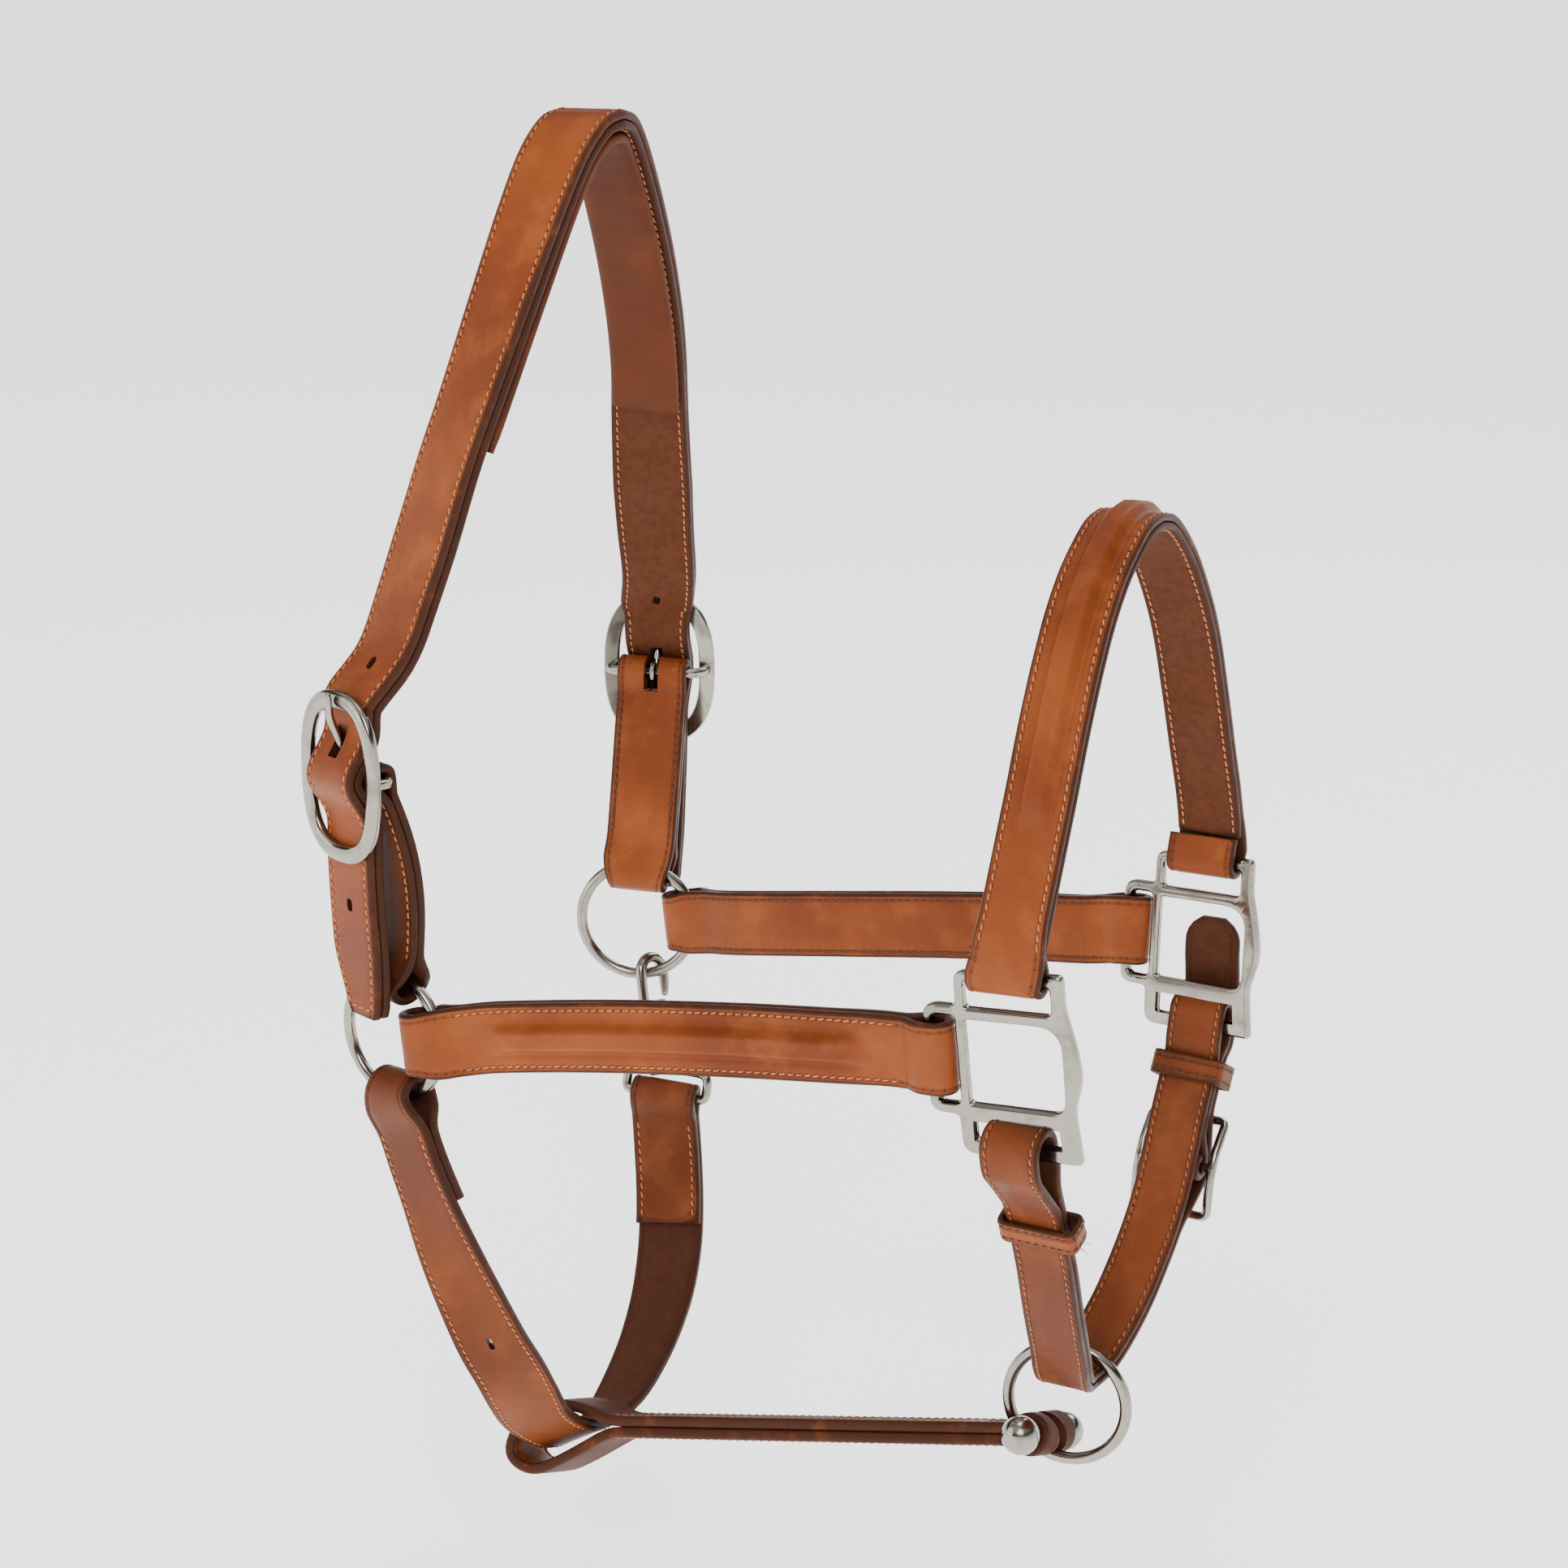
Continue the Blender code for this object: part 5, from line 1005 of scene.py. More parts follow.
# ---- chapes, head buckles, side rings and cheek pieces ------------------------------------
def chape(side, looks):
    """A folded strap round a side ring's top and a head buckle's centre bar."""
    spine = chape_spine(side)
    half = CHAPE_PLY / 2 + PLIES_APART / 2
    ring_top = spine.near(lambda p: p.z > RING_R)
    bar = spine.near(lambda p: p.z > BUCKLE_Z)
    swell = 5.2 + CHAPE_PLY / 2
    bar_swell = BAR_R + 0.9 + CHAPE_PLY / 2
    joint = 0.45 * ring_top + 0.55 * bar
    lower = fold(joint - SEAM, ring_top - CHAPE_REACH[side], half, swell, 15.0)
    upper = fold(joint + SEAM, bar + bar_swell, half, bar_swell, 10.0, 0.0, 3.0)
    middle = [(a, half) for a in spread(ring_top + 24.0, bar - 14.0, 12.0)]
    route = joined(lower, middle, upper)

    def width(a):
        return CHAPE_W - CHAPE_FOLD_NARROW[side] * ease((ring_top + 6.0 - a) / 14.0)

    # Painted shade: the off chape is the same tan leather as the near one, but takes the darker
    # lining look because it lies in shade.
    look = looks["lining" if side == "off" else "leather"]
    obj = strap(side + "_chape_fold", spine, route, width, CHAPE_PLY, look, edge=1.2, butt=True)
    centre, across, out, up = head_buckle_frame(side)
    at_bar = centre + out * (BAR_OUT - BUCKLE_OUT)
    combine(obj, box(at_bar + up * 2.0, across, out, up, CHAPE_SLOT))
    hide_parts(side + "_chape")
    face = half + CHAPE_PLY / 2
    rows = []
    for way in (1.0, -1.0):
        rows.append(edge_rows(spine, way * face, way, ring_top + 11.0, bar - 9.0, width))
        for a, lift in ((ring_top + 9.0, 0.9), (bar - 8.0, 0.0)):
            rows[-1].append(cross_row(spine, a, way * (face + lift), way, -10.6, 10.6))
    two_threads(side + "_chape", rows[0], rows[1], looks)


def buckle_frame(side, looks):
    """An oval frame, flat behind and rounded in front, with a bar carried inward on two arms."""
    centre, across, out, up = head_buckle_frame(side)
    half_t = BUCKLE_T / 2
    section = [(-0.42, -half_t), (0.42, -half_t), (0.5, -0.62 * half_t)]
    section += [(0.5 * cos_deg(k), 0.1 + (half_t - 0.1) * sin_deg(k))
                for k in range(0, 181, 15)]
    section += [(-0.5, -0.62 * half_t)]
    rings = []
    for u, v, normal in oval(120):
        rings.append([centre + across * (u + normal.x * w * BUCKLE_BAND)
                      + up * (v + normal.y * w * BUCKLE_BAND) + out * h for w, h in section])
    obj = finish_object(side + "_frame", loft(rings, closed=True), looks["nickel"])
    inward = BAR_OUT - BUCKLE_OUT
    arm = [(BAR_REACH + 0.9, 0.3), (BAR_REACH, inward + 2.0), (BAR_REACH - 2.0, inward)]
    path = [centre - across * u + out * h for u, h in arm]
    path += [centre + across * u + out * h for u, h in arm[::-1]]
    combine(obj, tube(path, BAR_R, up), "UNION")
    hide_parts(side + "_buckle_frame")


def tongue(name, path, wire, slim, up, looks):
    """A buckle's tongue along path, slimmer at its tip; it takes the place of node `name`."""
    bm = smooth_tube(path, [wire] * (len(path) - 1) + [wire * slim], 16, up)
    obj = finish_object(name.replace("_buckle", ""), bm, looks["nickel"], name)
    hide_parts(name)


def buckle_tongue(side, looks):
    """A head buckle's tongue: hooked round the bar, over the billet, onto the frame's top."""
    centre, across, out, up = head_buckle_frame(side)
    wire = 1.45
    bar = centre + out * (BAR_OUT - BUCKLE_OUT)
    tip_out = BUCKLE_OUT - BAR_OUT + BUCKLE_T / 2 + GAP + wire + 0.1
    path = tongue_path(bar, out, up, BAR_R, wire, tip_out - 0.6, BUCKLE_B - 6.0)
    path.append(bar + out * tip_out + up * (BUCKLE_B + 1.6))
    tongue(side + "_buckle_tongue", path, wire, 0.8, across, looks)


def torus(name, centre, normal, radius, look, node):
    """A ring of round wire that takes the place of one turning node."""
    normal = normal.normalized()
    first = normal.orthogonal().normalized()
    second = normal.cross(first)
    rings = []
    for a in turn(120):
        radial = first * math.cos(a) + second * math.sin(a)
        rings.append([centre + radial * (radius + RING_WIRE * math.cos(b))
                      + normal * (RING_WIRE * math.sin(b)) for b in turn(WIRE_SIDES)])
    obj = finish_object(name, loft(rings, closed=True), look, node)
    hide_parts(node)


def side_ring(side, looks):
    centre = Vector((0.0, SIDES[side] * SIDE_RING_Y, SIDE_RING_Z[side]))
    normal = level_axes(RING_TURN[side], SIDES[side])[1]
    torus(side + "_side_ring", centre, normal, RING_R, looks["nickel"], side + "_ring")


def cheek(side, looks):
    """A strip folded round a side ring's front and a square's rear bar, raised on its face."""
    spine = cheek_spine(side)
    s = SIDES[side]
    half = CHEEK_PLY / 2 + PLIES_APART / 2
    ring = spine.near(lambda p: p.x > RING_R * RING_REACH)
    swell = 4.0 + CHEEK_PLY / 2
    bar_x = square_point(s, -29.25, 1.0).x
    bar = spine.near(lambda p: p.x > bar_x)
    bar_swell = SQUARE_T / 2 + 0.5 + CHEEK_PLY / 2
    joint = bar - 17.0
    rear = fold(joint - SEAM, ring - CHEEK_END[side], half, swell, 16.0, 3.0)
    front = fold(joint + SEAM, bar + 7.0, half, bar_swell, 7.0, 5.2, 2.4)
    start, end = ring + 22.0, bar - 24.0
    middle = [(a, half) for a in spread(start - 4.0, end + 4.0, 11.0)]
    route = joined(rear, middle, front)

    def width(a):
        return CHEEK_W - CHEEK_FOLD_NARROW * ease((ring + 3.0 - a) / 9.0)

    def lift(a, b):
        return CHEEK_RISE * ease((a - start) / 9.0) * ease((end - a) / 9.0) if b > 0 else 0.0

    inset = 2.6
    obj = strap(side + "_cheek_fold", spine, route, width, CHEEK_PLY, looks["leather"], inset,
                1.2, lift, butt=True)
    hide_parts(side + "_cheek_strap", side + "_cheek_core")
    face = half + CHEEK_PLY / 2
    outer, inner = (edge_rows(spine, way * face, way, ring + 8.0, bar - 12.0, width, inset)
                    for way in (1.0, -1.0))
    two_threads(side + "_cheek", outer, inner, looks)


# ---- noseband -----------------------------------------------------------------------------
def noseband(spine, looks):
    """The outer strap folds round each square's top bar; the lining covers its inside."""
    end = spine.length
    start, stop = 44.0, end - 44.0
    wider, base = 2.2, 6.0              # more width at the squares; half width of the core's rise

    def width(a):
        edge = min(a, end - a)
        return NOSE_W + wider * ease((18.0 - edge) / 18.0)

    def section(a, b):
        lo, hi = halves(width, a)
        lift = NOSE_RISE * ease((a - start) / 11.0) * ease((stop - a) / 11.0)
        return profile(lo, hi, NOSE_PLY, EDGE, INSET, lift, base)

    end_half = 0.5 * (NOSE_W + wider)
    end_section = profile(-end_half, end_half, NOSE_PLY, EDGE, INSET, 0.0, base)
    loops, loop_marks = {}, {}
    for side, s in SIDES.items():
        loops[side], loop_marks[side] = nose_loop(spine, s, *end_section)
    flat = finer([(a, -NOSE_PLY / 2) for a in spread(0.0, end, 8.0)], 4)
    rings, marks = strap_rings(spine, flat, section, True)
    offset = loop_marks["off"][-1][0] + 2.0
    marks = [(a + offset, points) for a, points in marks]
    far = marks[-1][0] + 2.0 + loop_marks["near"][-1][0]
    tail = [(far - a, points) for a, points in loop_marks["near"][::-1]]
    bm = loft(loops["off"] + rings + loops["near"][::-1], marks=loop_marks["off"] + marks + tail)
    outer = finish_object("noseband_outer", bm, looks["leather"], sharp=55.0)
    low = -NOSE_PLY - PLIES_APART - NOSE_PLY / 2
    lining = [(a, low) for a in spread(7.0, end - 7.0, 8.0)]
    inner = strap("noseband_inner", spine, lining, NOSE_W, NOSE_PLY, looks["lining"], both=True)
    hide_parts("noseband_strap", "noseband_core")
    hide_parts("noseband_lining")
    rows = edge_rows(spine, 0.0, 1.0, 7.0, end - 7.0, width)
    rows += edge_rows(spine, low - NOSE_PLY / 2, -1.0, 9.0, end - 9.0, NOSE_W)
    stitches("noseband_thread", rows, looks["thread"])


def nose_loop(spine, s, shape, mark):
    """Sections of the noseband's end folded round a square's top bar, free end first."""
    a_end = spine.length if s > 0 else 0.0
    p, w, n = spine.at(a_end)
    bar = square_point(s, -0.3, 29.9)
    forward, outward, up = square_axes(s)
    r = SQUARE_T / 2 + 0.6 + NOSE_PLY / 2
    path = [bar + up * 9.2 - outward * 2.0, bar + up * 5.0 - outward * 3.2]
    path += [bar - outward * (r * cos_deg(k)) - up * (r * sin_deg(k))
             for k in range(0, 181, 30)]
    path = curve_through(path + [p - n * (NOSE_PLY / 2)], 3)
    count = len(path) - 1
    rings, marks = [], []
    gone = 0.0
    for i in range(count):
        t = (path[i + 1] - path[max(i - 1, 0)]).normalized()
        turned = ease((i / count - 0.5) / 0.5)
        wide = forward.lerp(w if w.dot(forward) > 0 else -w, turned)
        wide -= wide.dot(t) * t
        wide.normalize()
        normal = (t.cross(wide) * s).normalized()
        rings.append([path[i] + wide * u + normal * v for u, v in shape])
        gone += (path[i] - path[i - 1]).length if i else 0.0
        marks.append((gone, mark if i else [(0.0, f) for _, f in mark]))
    return rings, marks


# ---- squares ------------------------------------------------------------------------------
def inset_loop(loop, d):
    """A closed (u, v) loop moved inward by d, measured along each corner's bisector."""
    out = []
    n = len(loop)
    for i, p in enumerate(loop):
        a = Vector(p) - Vector(loop[i - 1])
        b = Vector(loop[(i + 1) % n]) - Vector(p)
        na, nb = Vector((-a.y, a.x)).normalized(), Vector((-b.y, b.x)).normalized()
        m = (na + nb).normalized()
        out.append(Vector(p) + m * (d / max(0.6, m.dot(na))))
    return out


def square(side, looks):
    """A three-slot casting with rounded rails: slots above, behind and below a window."""
    s = SIDES[side]
    half = SQUARE_T / 2
    outer = rounded([(u, v, max(r, 1.8)) for u, v, r in SQUARE_OUTLINE], 6)
    holes = [rounded([(u, v, max(r, 1.6)) for u, v, r in hole], 6) for hole in SQUARE_HOLES]
    loops = [outer] + [hole[::-1] for hole in holes]
    soft = 1.35
    steps = [(soft * (1 - cos_deg(k)), half - soft * (1 - sin_deg(k)))
             for k in (90, 72, 54, 36, 18, 0)]
    bm = bmesh.new()
    flat_loops = []
    for loop in loops:
        rows = []
        levels = [(d, h) for d, h in steps] + [(d, -h) for d, h in steps[::-1]]
        for d, h in levels:
            pts = inset_loop(loop, d)
            rows.append([bm.verts.new(put(square_point(s, p.x, p.y, h))) for p in pts])
        n = len(loop)
        for a, b in zip(rows, rows[1:]):
            for i in range(n):
                j = (i + 1) % n
                bm.faces.new((a[i], a[j], b[j], b[i]))
        flat_loops.append((inset_loop(loop, steps[0][0]), rows[0], rows[-1]))
    points, edges, tops, lows = [], [], [], []
    for pts, top, low in flat_loops:
        base = len(points)
        points += [Vector((p.x, p.y)) for p in pts]
        tops += top
        lows += low
        edges += [(base + i, base + (i + 1) % len(pts)) for i in range(len(pts))]
    verts, _, faces, origins, _, _ = delaunay_2d_cdt(points, edges, [], 0, 1e-5)
    solid = [[Vector(p) for p in loop] for loop, _, _ in flat_loops]

    def inside(point, loop):
        odd = False
        for i, p in enumerate(loop):
            q = loop[i - 1]
            if (p.y > point.y) != (q.y > point.y):
                if point.x < (q.x - p.x) * (point.y - p.y) / (q.y - p.y) + p.x:
                    odd = not odd
        return odd

    for face in faces:
        ids = [origins[i][0] for i in face if origins[i]]
        if len(set(ids)) < 3:
            continue
        middle = sum((points[i] for i in ids), Vector((0.0, 0.0))) / len(ids)
        if not inside(middle, solid[0]) or any(inside(middle, hole) for hole in solid[1:]):
            continue
        bm.faces.new([tops[i] for i in ids])
        bm.faces.new([lows[i] for i in ids[::-1]])
    obj = finish_object(side + "_casting", bm, looks["nickel"], sharp=60.0)
    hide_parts(side + "_square")


# ---- chin strap ---------------------------------------------------------------------------
def chin(spine, looks):
    """One strap: from its buckle up over the near square's foot bar, down inside, through the
    chin ring, over the off square's foot bar, back through the ring and up to its tip."""
    route, end = chin_path(spine)
    route = finer(route)
    tip_start, radius, inset = end - 9.0, 9.4, 2.3

    def section(a, b):
        half = 0.5 * (CHIN_W - CHIN_PINCH * ease(1.0 - abs(a - 0.5 * spine.length) / 16.0))
        gone = min(radius * 0.93, max(0.0, a - tip_start))
        half -= radius - math.sqrt(radius * radius - gone * gone)
        return profile(-half, half, CHIN_PLY, EDGE, inset)

    rings, marks = strap_rings(spine, route, section)
    obj = finish_object("chin_band", loft(rings, marks=marks), looks["strap"], sharp=55.0)
    bar_a = chin_buckle_place(spine)
    lift = CHIN_BUCKLE_OUT
    p, w, n = spine.at(bar_a)
    t = n.cross(w)
    t = t if t.z > 0 else -t
    bar = p + n * lift
    combine(obj, box(bar + n * 0.7 - t * 2.4, w, n, t, CHIN_CHAPE_SLOT))
    hole = bar - t * 10.6 + n * 5.6
    lean = (t * -0.9 + n * 0.34).normalized()
    combine(obj, box(hole, w, lean.cross(w), lean, CHIN_SLOT))
    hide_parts("chin_strap")
    half = 0.5 * CHIN_W - inset
    pts, wide = [], []
    for a, b in route:
        q, w, n = spine.at(a)
        pts.append(q + n * b)
        wide.append(w)
    rows = [[], []]
    for i in range(30, len(pts) - 12):
        t = (pts[i + 1] - pts[i - 1]).normalized()
        n = spine.flip * t.cross(wide[i]).normalized()
        for row, k in zip(rows, (-1.0, 1.0)):
            row.append((pts[i] + wide[i] * (k * half) + n * (0.5 * CHIN_PLY - THREAD_DEEP), n))
    stitches("chin_thread", rows, looks["thread_mid"])


def chin_buckle(spine, looks):
    """A rectangular frame with a centre bar, and a tongue that points down."""
    bar_a = chin_buckle_place(spine)
    p, w, n = spine.at(bar_a)
    t = n.cross(w)
    t = t if t.z > 0 else -t
    wire = 1.7
    centre = p + n * CHIN_BUCKLE_OUT
    half_w, half_h = CHIN_BUCKLE_HALF
    lift = CHIN_BUCKLE_LIFT
    corners = [(-half_w, -half_h, 3.0), (half_w, -half_h, 3.0), (half_w, -6.0, 0.0),
               (half_w, 0.0, 0.0), (half_w, 6.0, 0.0), (half_w, half_h, 3.0),
               (-half_w, half_h, 3.0), (-half_w, 6.0, 0.0), (-half_w, 0.0, 0.0),
               (-half_w, -6.0, 0.0)]

    def place(u, v, du, dv, h):
        return centre + w * (u + du) + t * (v + dv) + n * (lift * (abs(v) / half_h) ** 2 + h)

    obj = finish_object("chin_frame", wire_loop(corners, 6, wire, place), looks["nickel"])
    end = w * (half_w + 0.6)
    combine(obj, tube([centre - end, centre + end], wire - 0.05, t), "UNION")
    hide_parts("chin_buckle_frame")
    thin = 1.25
    path = tongue_path(centre, n, -t, wire, thin, lift + wire + thin + GAP + 0.1, half_h + 1.0)
    tongue("chin_buckle_tongue", path, thin, 0.75, w, looks)


def frayed_ends(name, start, w, t, n, looks):
    """A few loose ends of thread at a keeper's front edge."""
    bm = bmesh.new()
    for k, (a, b, c) in enumerate(((3.4, 1.6, 0.6), (2.4, 3.4, 1.4), (4.6, 0.3, -0.9),
                                   (2.0, -1.3, 1.2), (3.0, -2.4, -0.4))):
        root = start + t * (2.4 - 1.2 * k)
        smooth_tube([root, root + w * (0.5 * a) + t * (0.1 * b) + n * c,
                     root + w * a + t * b + n * (0.4 * c)], [0.13] * 3, 6, n, bm)
    finish_object(name + "_frayed_thread", bm, looks["thread_mid"], name)


def keeper(name, spine, a, low, high, width, shift, looks):
    """A leather band round the chin strap's runs, with two rows of stitches along it."""
    p, w, n = spine.at(a)
    t = n.cross(w).normalized()
    thick, deep, slack = 2.0, 9.0, 0.8
    half_w = 0.5 * (width - thick)
    bottom, top = low - slack - thick / 2, high + slack + thick / 2
    loop = rounded([(shift - half_w, bottom, 2.6), (shift + half_w, bottom, 2.6),
                    (shift + half_w, top, 2.6), (shift - half_w, top, 2.6)], 8)
    dense = []
    for i, q in enumerate(loop):
        q, r = Vector(q), Vector(loop[(i + 1) % len(loop)])
        steps = max(1, int((r - q).length / 1.6))
        dense += [q.lerp(r, k / steps) for k in range(steps)]
    inset = 2.0
    shape, mark = profile(-deep / 2, deep / 2, thick, 0.8, inset)
    rings, marks, rows = [], [], [[], []]
    count = len(dense)
    gone = 0.0
    for i, q in enumerate(dense):
        d = (dense[(i + 1) % count] - dense[i - 1]).normalized()
        normal = Vector((d.y, -d.x))
        out = w * normal.x + n * normal.y
        middle = p + w * q.x + n * q.y
        puff = 0.025 * math.sin(0.9 * i)
        rings.append([middle + t * u + out * (v + puff) for u, v in shape])
        gone += (q - dense[i - 1]).length if i else 0.0
        marks.append((gone, mark))
        for row, k in zip(rows, (-1.0, 1.0)):
            row.append((middle + t * (k * (deep / 2 - inset)) + out * (thick / 2 - THREAD_DEEP), out))
    bm = loft(rings, closed=True, marks=marks)
    near = name.startswith("near")
    obj = finish_object(name + "_band", bm, looks["strap" if near else "leather"], name, 55.0)
    if not near:
        frayed_ends(name, p + w * (shift + half_w + 0.9) + n * (0.7 * top), w, t, n, looks)
    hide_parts(name)
    stitches(name + "_thread", rows, looks["thread_dark"], name, 2.1, 0.8, 0.3)


# ---- joining strap, bolt and throat strap -------------------------------------------------
def joining_strap(looks):
    """Two plies: a slanting loop round the throat strap behind and one round the bolt."""
    spine = join_spine()
    rear, front, _, _ = join_frame()
    route, half = join_route(0.05)
    inset = 2.6
    obj = strap("joining_band", spine, route, JOIN_W, JOIN_PLY, looks["leather"], inset, 1.4,
                butt=True)
    forward, normal = level_axes(CHIN_RING_TURN)
    middle = front - normal * (front - CHIN_RING).dot(normal)
    combine(obj, box(middle - forward * 4.0, forward, normal, UP, JOIN_SLOT), touching=True)
    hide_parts("joining_strap")
    end = 50.0 + (front - rear).length - 13.0
    face = half + JOIN_PLY / 2
    rows = edge_rows(spine, face, 1.0, 54.0, end, JOIN_W, inset)
    rows += edge_rows(spine, -face, -1.0, 54.0, end, JOIN_W, inset)
    stitches("joining_thread", rows, looks["thread"])


def chin_bolt(looks):
    """A straight shank with a ball at each end; the chin ring hangs round its middle."""
    _, front, along, across = join_frame()
    half = JOIN_W / 2 + 0.6
    ball = -half - BOLT_BALL_R * BALL_SET
    end = [(ball - BOLT_BALL_R, 0.3)]
    end += [(ball + BOLT_BALL_R * cos_deg(k), BOLT_BALL_R * sin_deg(k))
            for k in range(150, 21, -8)]
    end.append((-half + 0.1, BOLT_R))
    whole = end + [(-x, r) for x, r in end[::-1]]
    bm = loft(tube_rings([front + across * x for x, _ in whole], [r for _, r in whole], 28, along))
    obj = finish_object("bolt_and_balls", bm, looks["nickel"])
    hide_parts("chin_bolt")


def throat(spine, looks):
    """A strap that hooks the off ring with a long stitched fold and the snap with another."""
    half = THROAT_PLY / 2 + PLIES_APART / 2
    ring_a = spine.near(lambda p: p.z < -RING_R)
    swell = 4.6 + THROAT_PLY / 2
    off = fold(ring_a + 42.0, ring_a - 7.6, half, swell, 17.0)
    d_a = spine.length - D_BAR
    d_swell = D_WIRE + 0.5 + THROAT_PLY / 2
    near = fold(d_a - 54.0, d_a + d_swell, half, d_swell, 10.0)
    middle = [(a, half) for a in spread(ring_a + 30.0, d_a - 20.0, 8.0)]
    route = joined(off, middle, near)

    def width(a):
        return THROAT_W - THROAT_FOLD_NARROW * ease((ring_a + 8.0 - a) / 14.0)

    inset = 2.8
    obj = strap("throat_band", spine, route, width, THROAT_PLY, looks["strap"], inset, 1.4)
    # the slit hole low on the off run
    slit = spine.near(lambda p: p.z < -119.4)
    p, w, n = spine.at(slit)
    t = n.cross(w).normalized()
    combine(obj, box(p + n * half, w, t, n, SLIT, 0.8))
    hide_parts("throat_strap")
    face = half + THROAT_PLY / 2
    start, end = ring_a + 11.0, d_a - 12.0
    rows = edge_rows(spine, face, 1.0, start, end, width, inset)
    rows += edge_rows(spine, -face, -1.0, start, ring_a + 39.0, width, inset)
    rows += edge_rows(spine, -face, -1.0, d_a - 51.0, end, width, inset)
    stitches("throat_thread", rows, looks["thread"])


# ---- snap ---------------------------------------------------------------------------------
def snap(spine, looks):
    """The snap's forging: a flat loop for the strap, a shank bent into a hook over the ring, and
    a boss that is slotted for the gate."""
    centre, d_bar, w, up, toward, hinge = snap_frame(spine)
    wire = 2.2
    reach = 6.1
    length = (centre - d_bar).length

    def point(m, k):
        return centre + toward * m + up * k

    half_w = THROAT_W / 2 + 3.2
    eye_up = (up - up.dot(w) * w).normalized()
    corners = [(-half_w, -1.0, 3.0), (half_w, -1.0, 3.0), (half_w, 9.6, 6.5), (-half_w, 9.6, 6.5)]
    face = w.cross(eye_up)

    def place(u, v, du, dv, h):
        return d_bar + w * (u + du) + eye_up * (v + 1.0 + dv) + face * h

    obj = finish_object("snap_body", wire_loop(corners, 8, D_WIRE, place), looks["nickel"])
    foot = -(length - 11.0)
    shank = [point(-2.0, foot + 0.0), point(-4.4, foot + 7.0), point(-reach, -12.0)]
    shank += [point(-reach * cos_deg(k), reach * sin_deg(k))
              for k in range(0, 181, 30)]
    shank += [point(reach, -4.0), point(reach - 0.3, -8.5)]
    radii = [2.6, 2.4] + [wire] * (len(shank) - 4) + [2.0, 1.5]
    bar = smooth_tube(shank, radii, WIRE_SIDES, hinge)
    combine(obj, bar, "UNION")
    combine(obj, box(point(0.4, foot + 1.5), toward, up, hinge, (9.6, 9.0, 8.6), 3.2), "UNION")
    combine(obj, box(point(3.6, foot + 3.6), toward, hinge, up, (9.0, 5.2, 7.6)))
    pin_at = point(2.4, foot + 3.2)
    hole = tube([pin_at - hinge * 9.0, pin_at + hinge * 9.0], 1.2, up)
    combine(obj, hole)
    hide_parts("snap_hook")


# ---- materials ----------------------------------------------------------------------------
class Nodes:
    """A short way to build a shader's node tree."""

    def __init__(self, name):
        self.material = bpy.data.materials.new(name)
        self.material.use_nodes = True
        self.tree = self.material.node_tree
        self.shader = self.tree.nodes["Principled BSDF"]
        self.where = self.tree.nodes.new("ShaderNodeTexCoord").outputs["Object"]

    def node(self, kind, **values):
        node = self.tree.nodes.new(kind)
        for key, value in values.items():
            setattr(node, key, value)
        return node

    def link(self, a, b):
        self.tree.links.new(a, b)

    def noise(self, scale, detail, rough, stretch=None):
        node = self.node("ShaderNodeTexNoise")
        node.inputs["Scale"].default_value = scale
        node.inputs["Detail"].default_value = detail
        node.inputs["Roughness"].default_value = rough
        where = self.where
        if stretch:
            mapping = self.node("ShaderNodeMapping")
            mapping.inputs["Scale"].default_value = stretch
            self.link(self.where, mapping.inputs["Vector"])
            where = mapping.outputs["Vector"]
        self.link(where, node.inputs["Vector"])
        return node.outputs["Fac"]

    def cells(self, scale):
        node = self.node("ShaderNodeTexVoronoi", feature="DISTANCE_TO_EDGE")
        node.inputs["Scale"].default_value = scale
        self.link(self.where, node.inputs["Vector"])
        return node.outputs["Distance"]

    def attribute(self, name):
        node = self.node("ShaderNodeAttribute", attribute_name=name)
        return node.outputs["Fac"]

    def ramp(self, value, low, high, a=0.0, b=1.0):
        node = self.node("ShaderNodeMapRange", interpolation_type="SMOOTHSTEP")
        for socket, number in (("From Min", low), ("From Max", high), ("To Min", a), ("To Max", b)):
            node.inputs[socket].default_value = number
        self.link(value, node.inputs["Value"])
        return node.outputs["Result"]

    def maths(self, kind, a, b=0.0):
        node = self.node("ShaderNodeMath", operation=kind)
        for i, value in enumerate((a, b)):
            if isinstance(value, (int, float)):
                node.inputs[i].default_value = value
            else:
                self.link(value, node.inputs[i])
        return node.outputs["Value"]

    def mix(self, share, a, b):
        node = self.node("ShaderNodeMix", data_type="RGBA")
        for socket, value in ((0, share), (6, a), (7, b)):
            if isinstance(value, (int, float)):
                node.inputs[socket].default_value = value
            elif isinstance(value, tuple):
                node.inputs[socket].default_value = (*value, 1.0)
            else:
                self.link(value, node.inputs[socket])
        return node.outputs[2]

    def bump(self, height, strength, distance, below=None):
        node = self.node("ShaderNodeBump")
        node.inputs["Strength"].default_value = strength
        node.inputs["Distance"].default_value = distance
        self.link(height, node.inputs["Height"])
        if below:
            self.link(below, node.inputs["Normal"])
        return node.outputs["Normal"]


TAN = (0.252, 0.058, 0.0115)
TAN_LIGHT = (0.325, 0.086, 0.020)
TAN_DEEP = (0.155, 0.031, 0.0065)
EDGE_BROWN = (0.035, 0.010, 0.004)
FLESH_BROWN = (0.070, 0.020, 0.008)


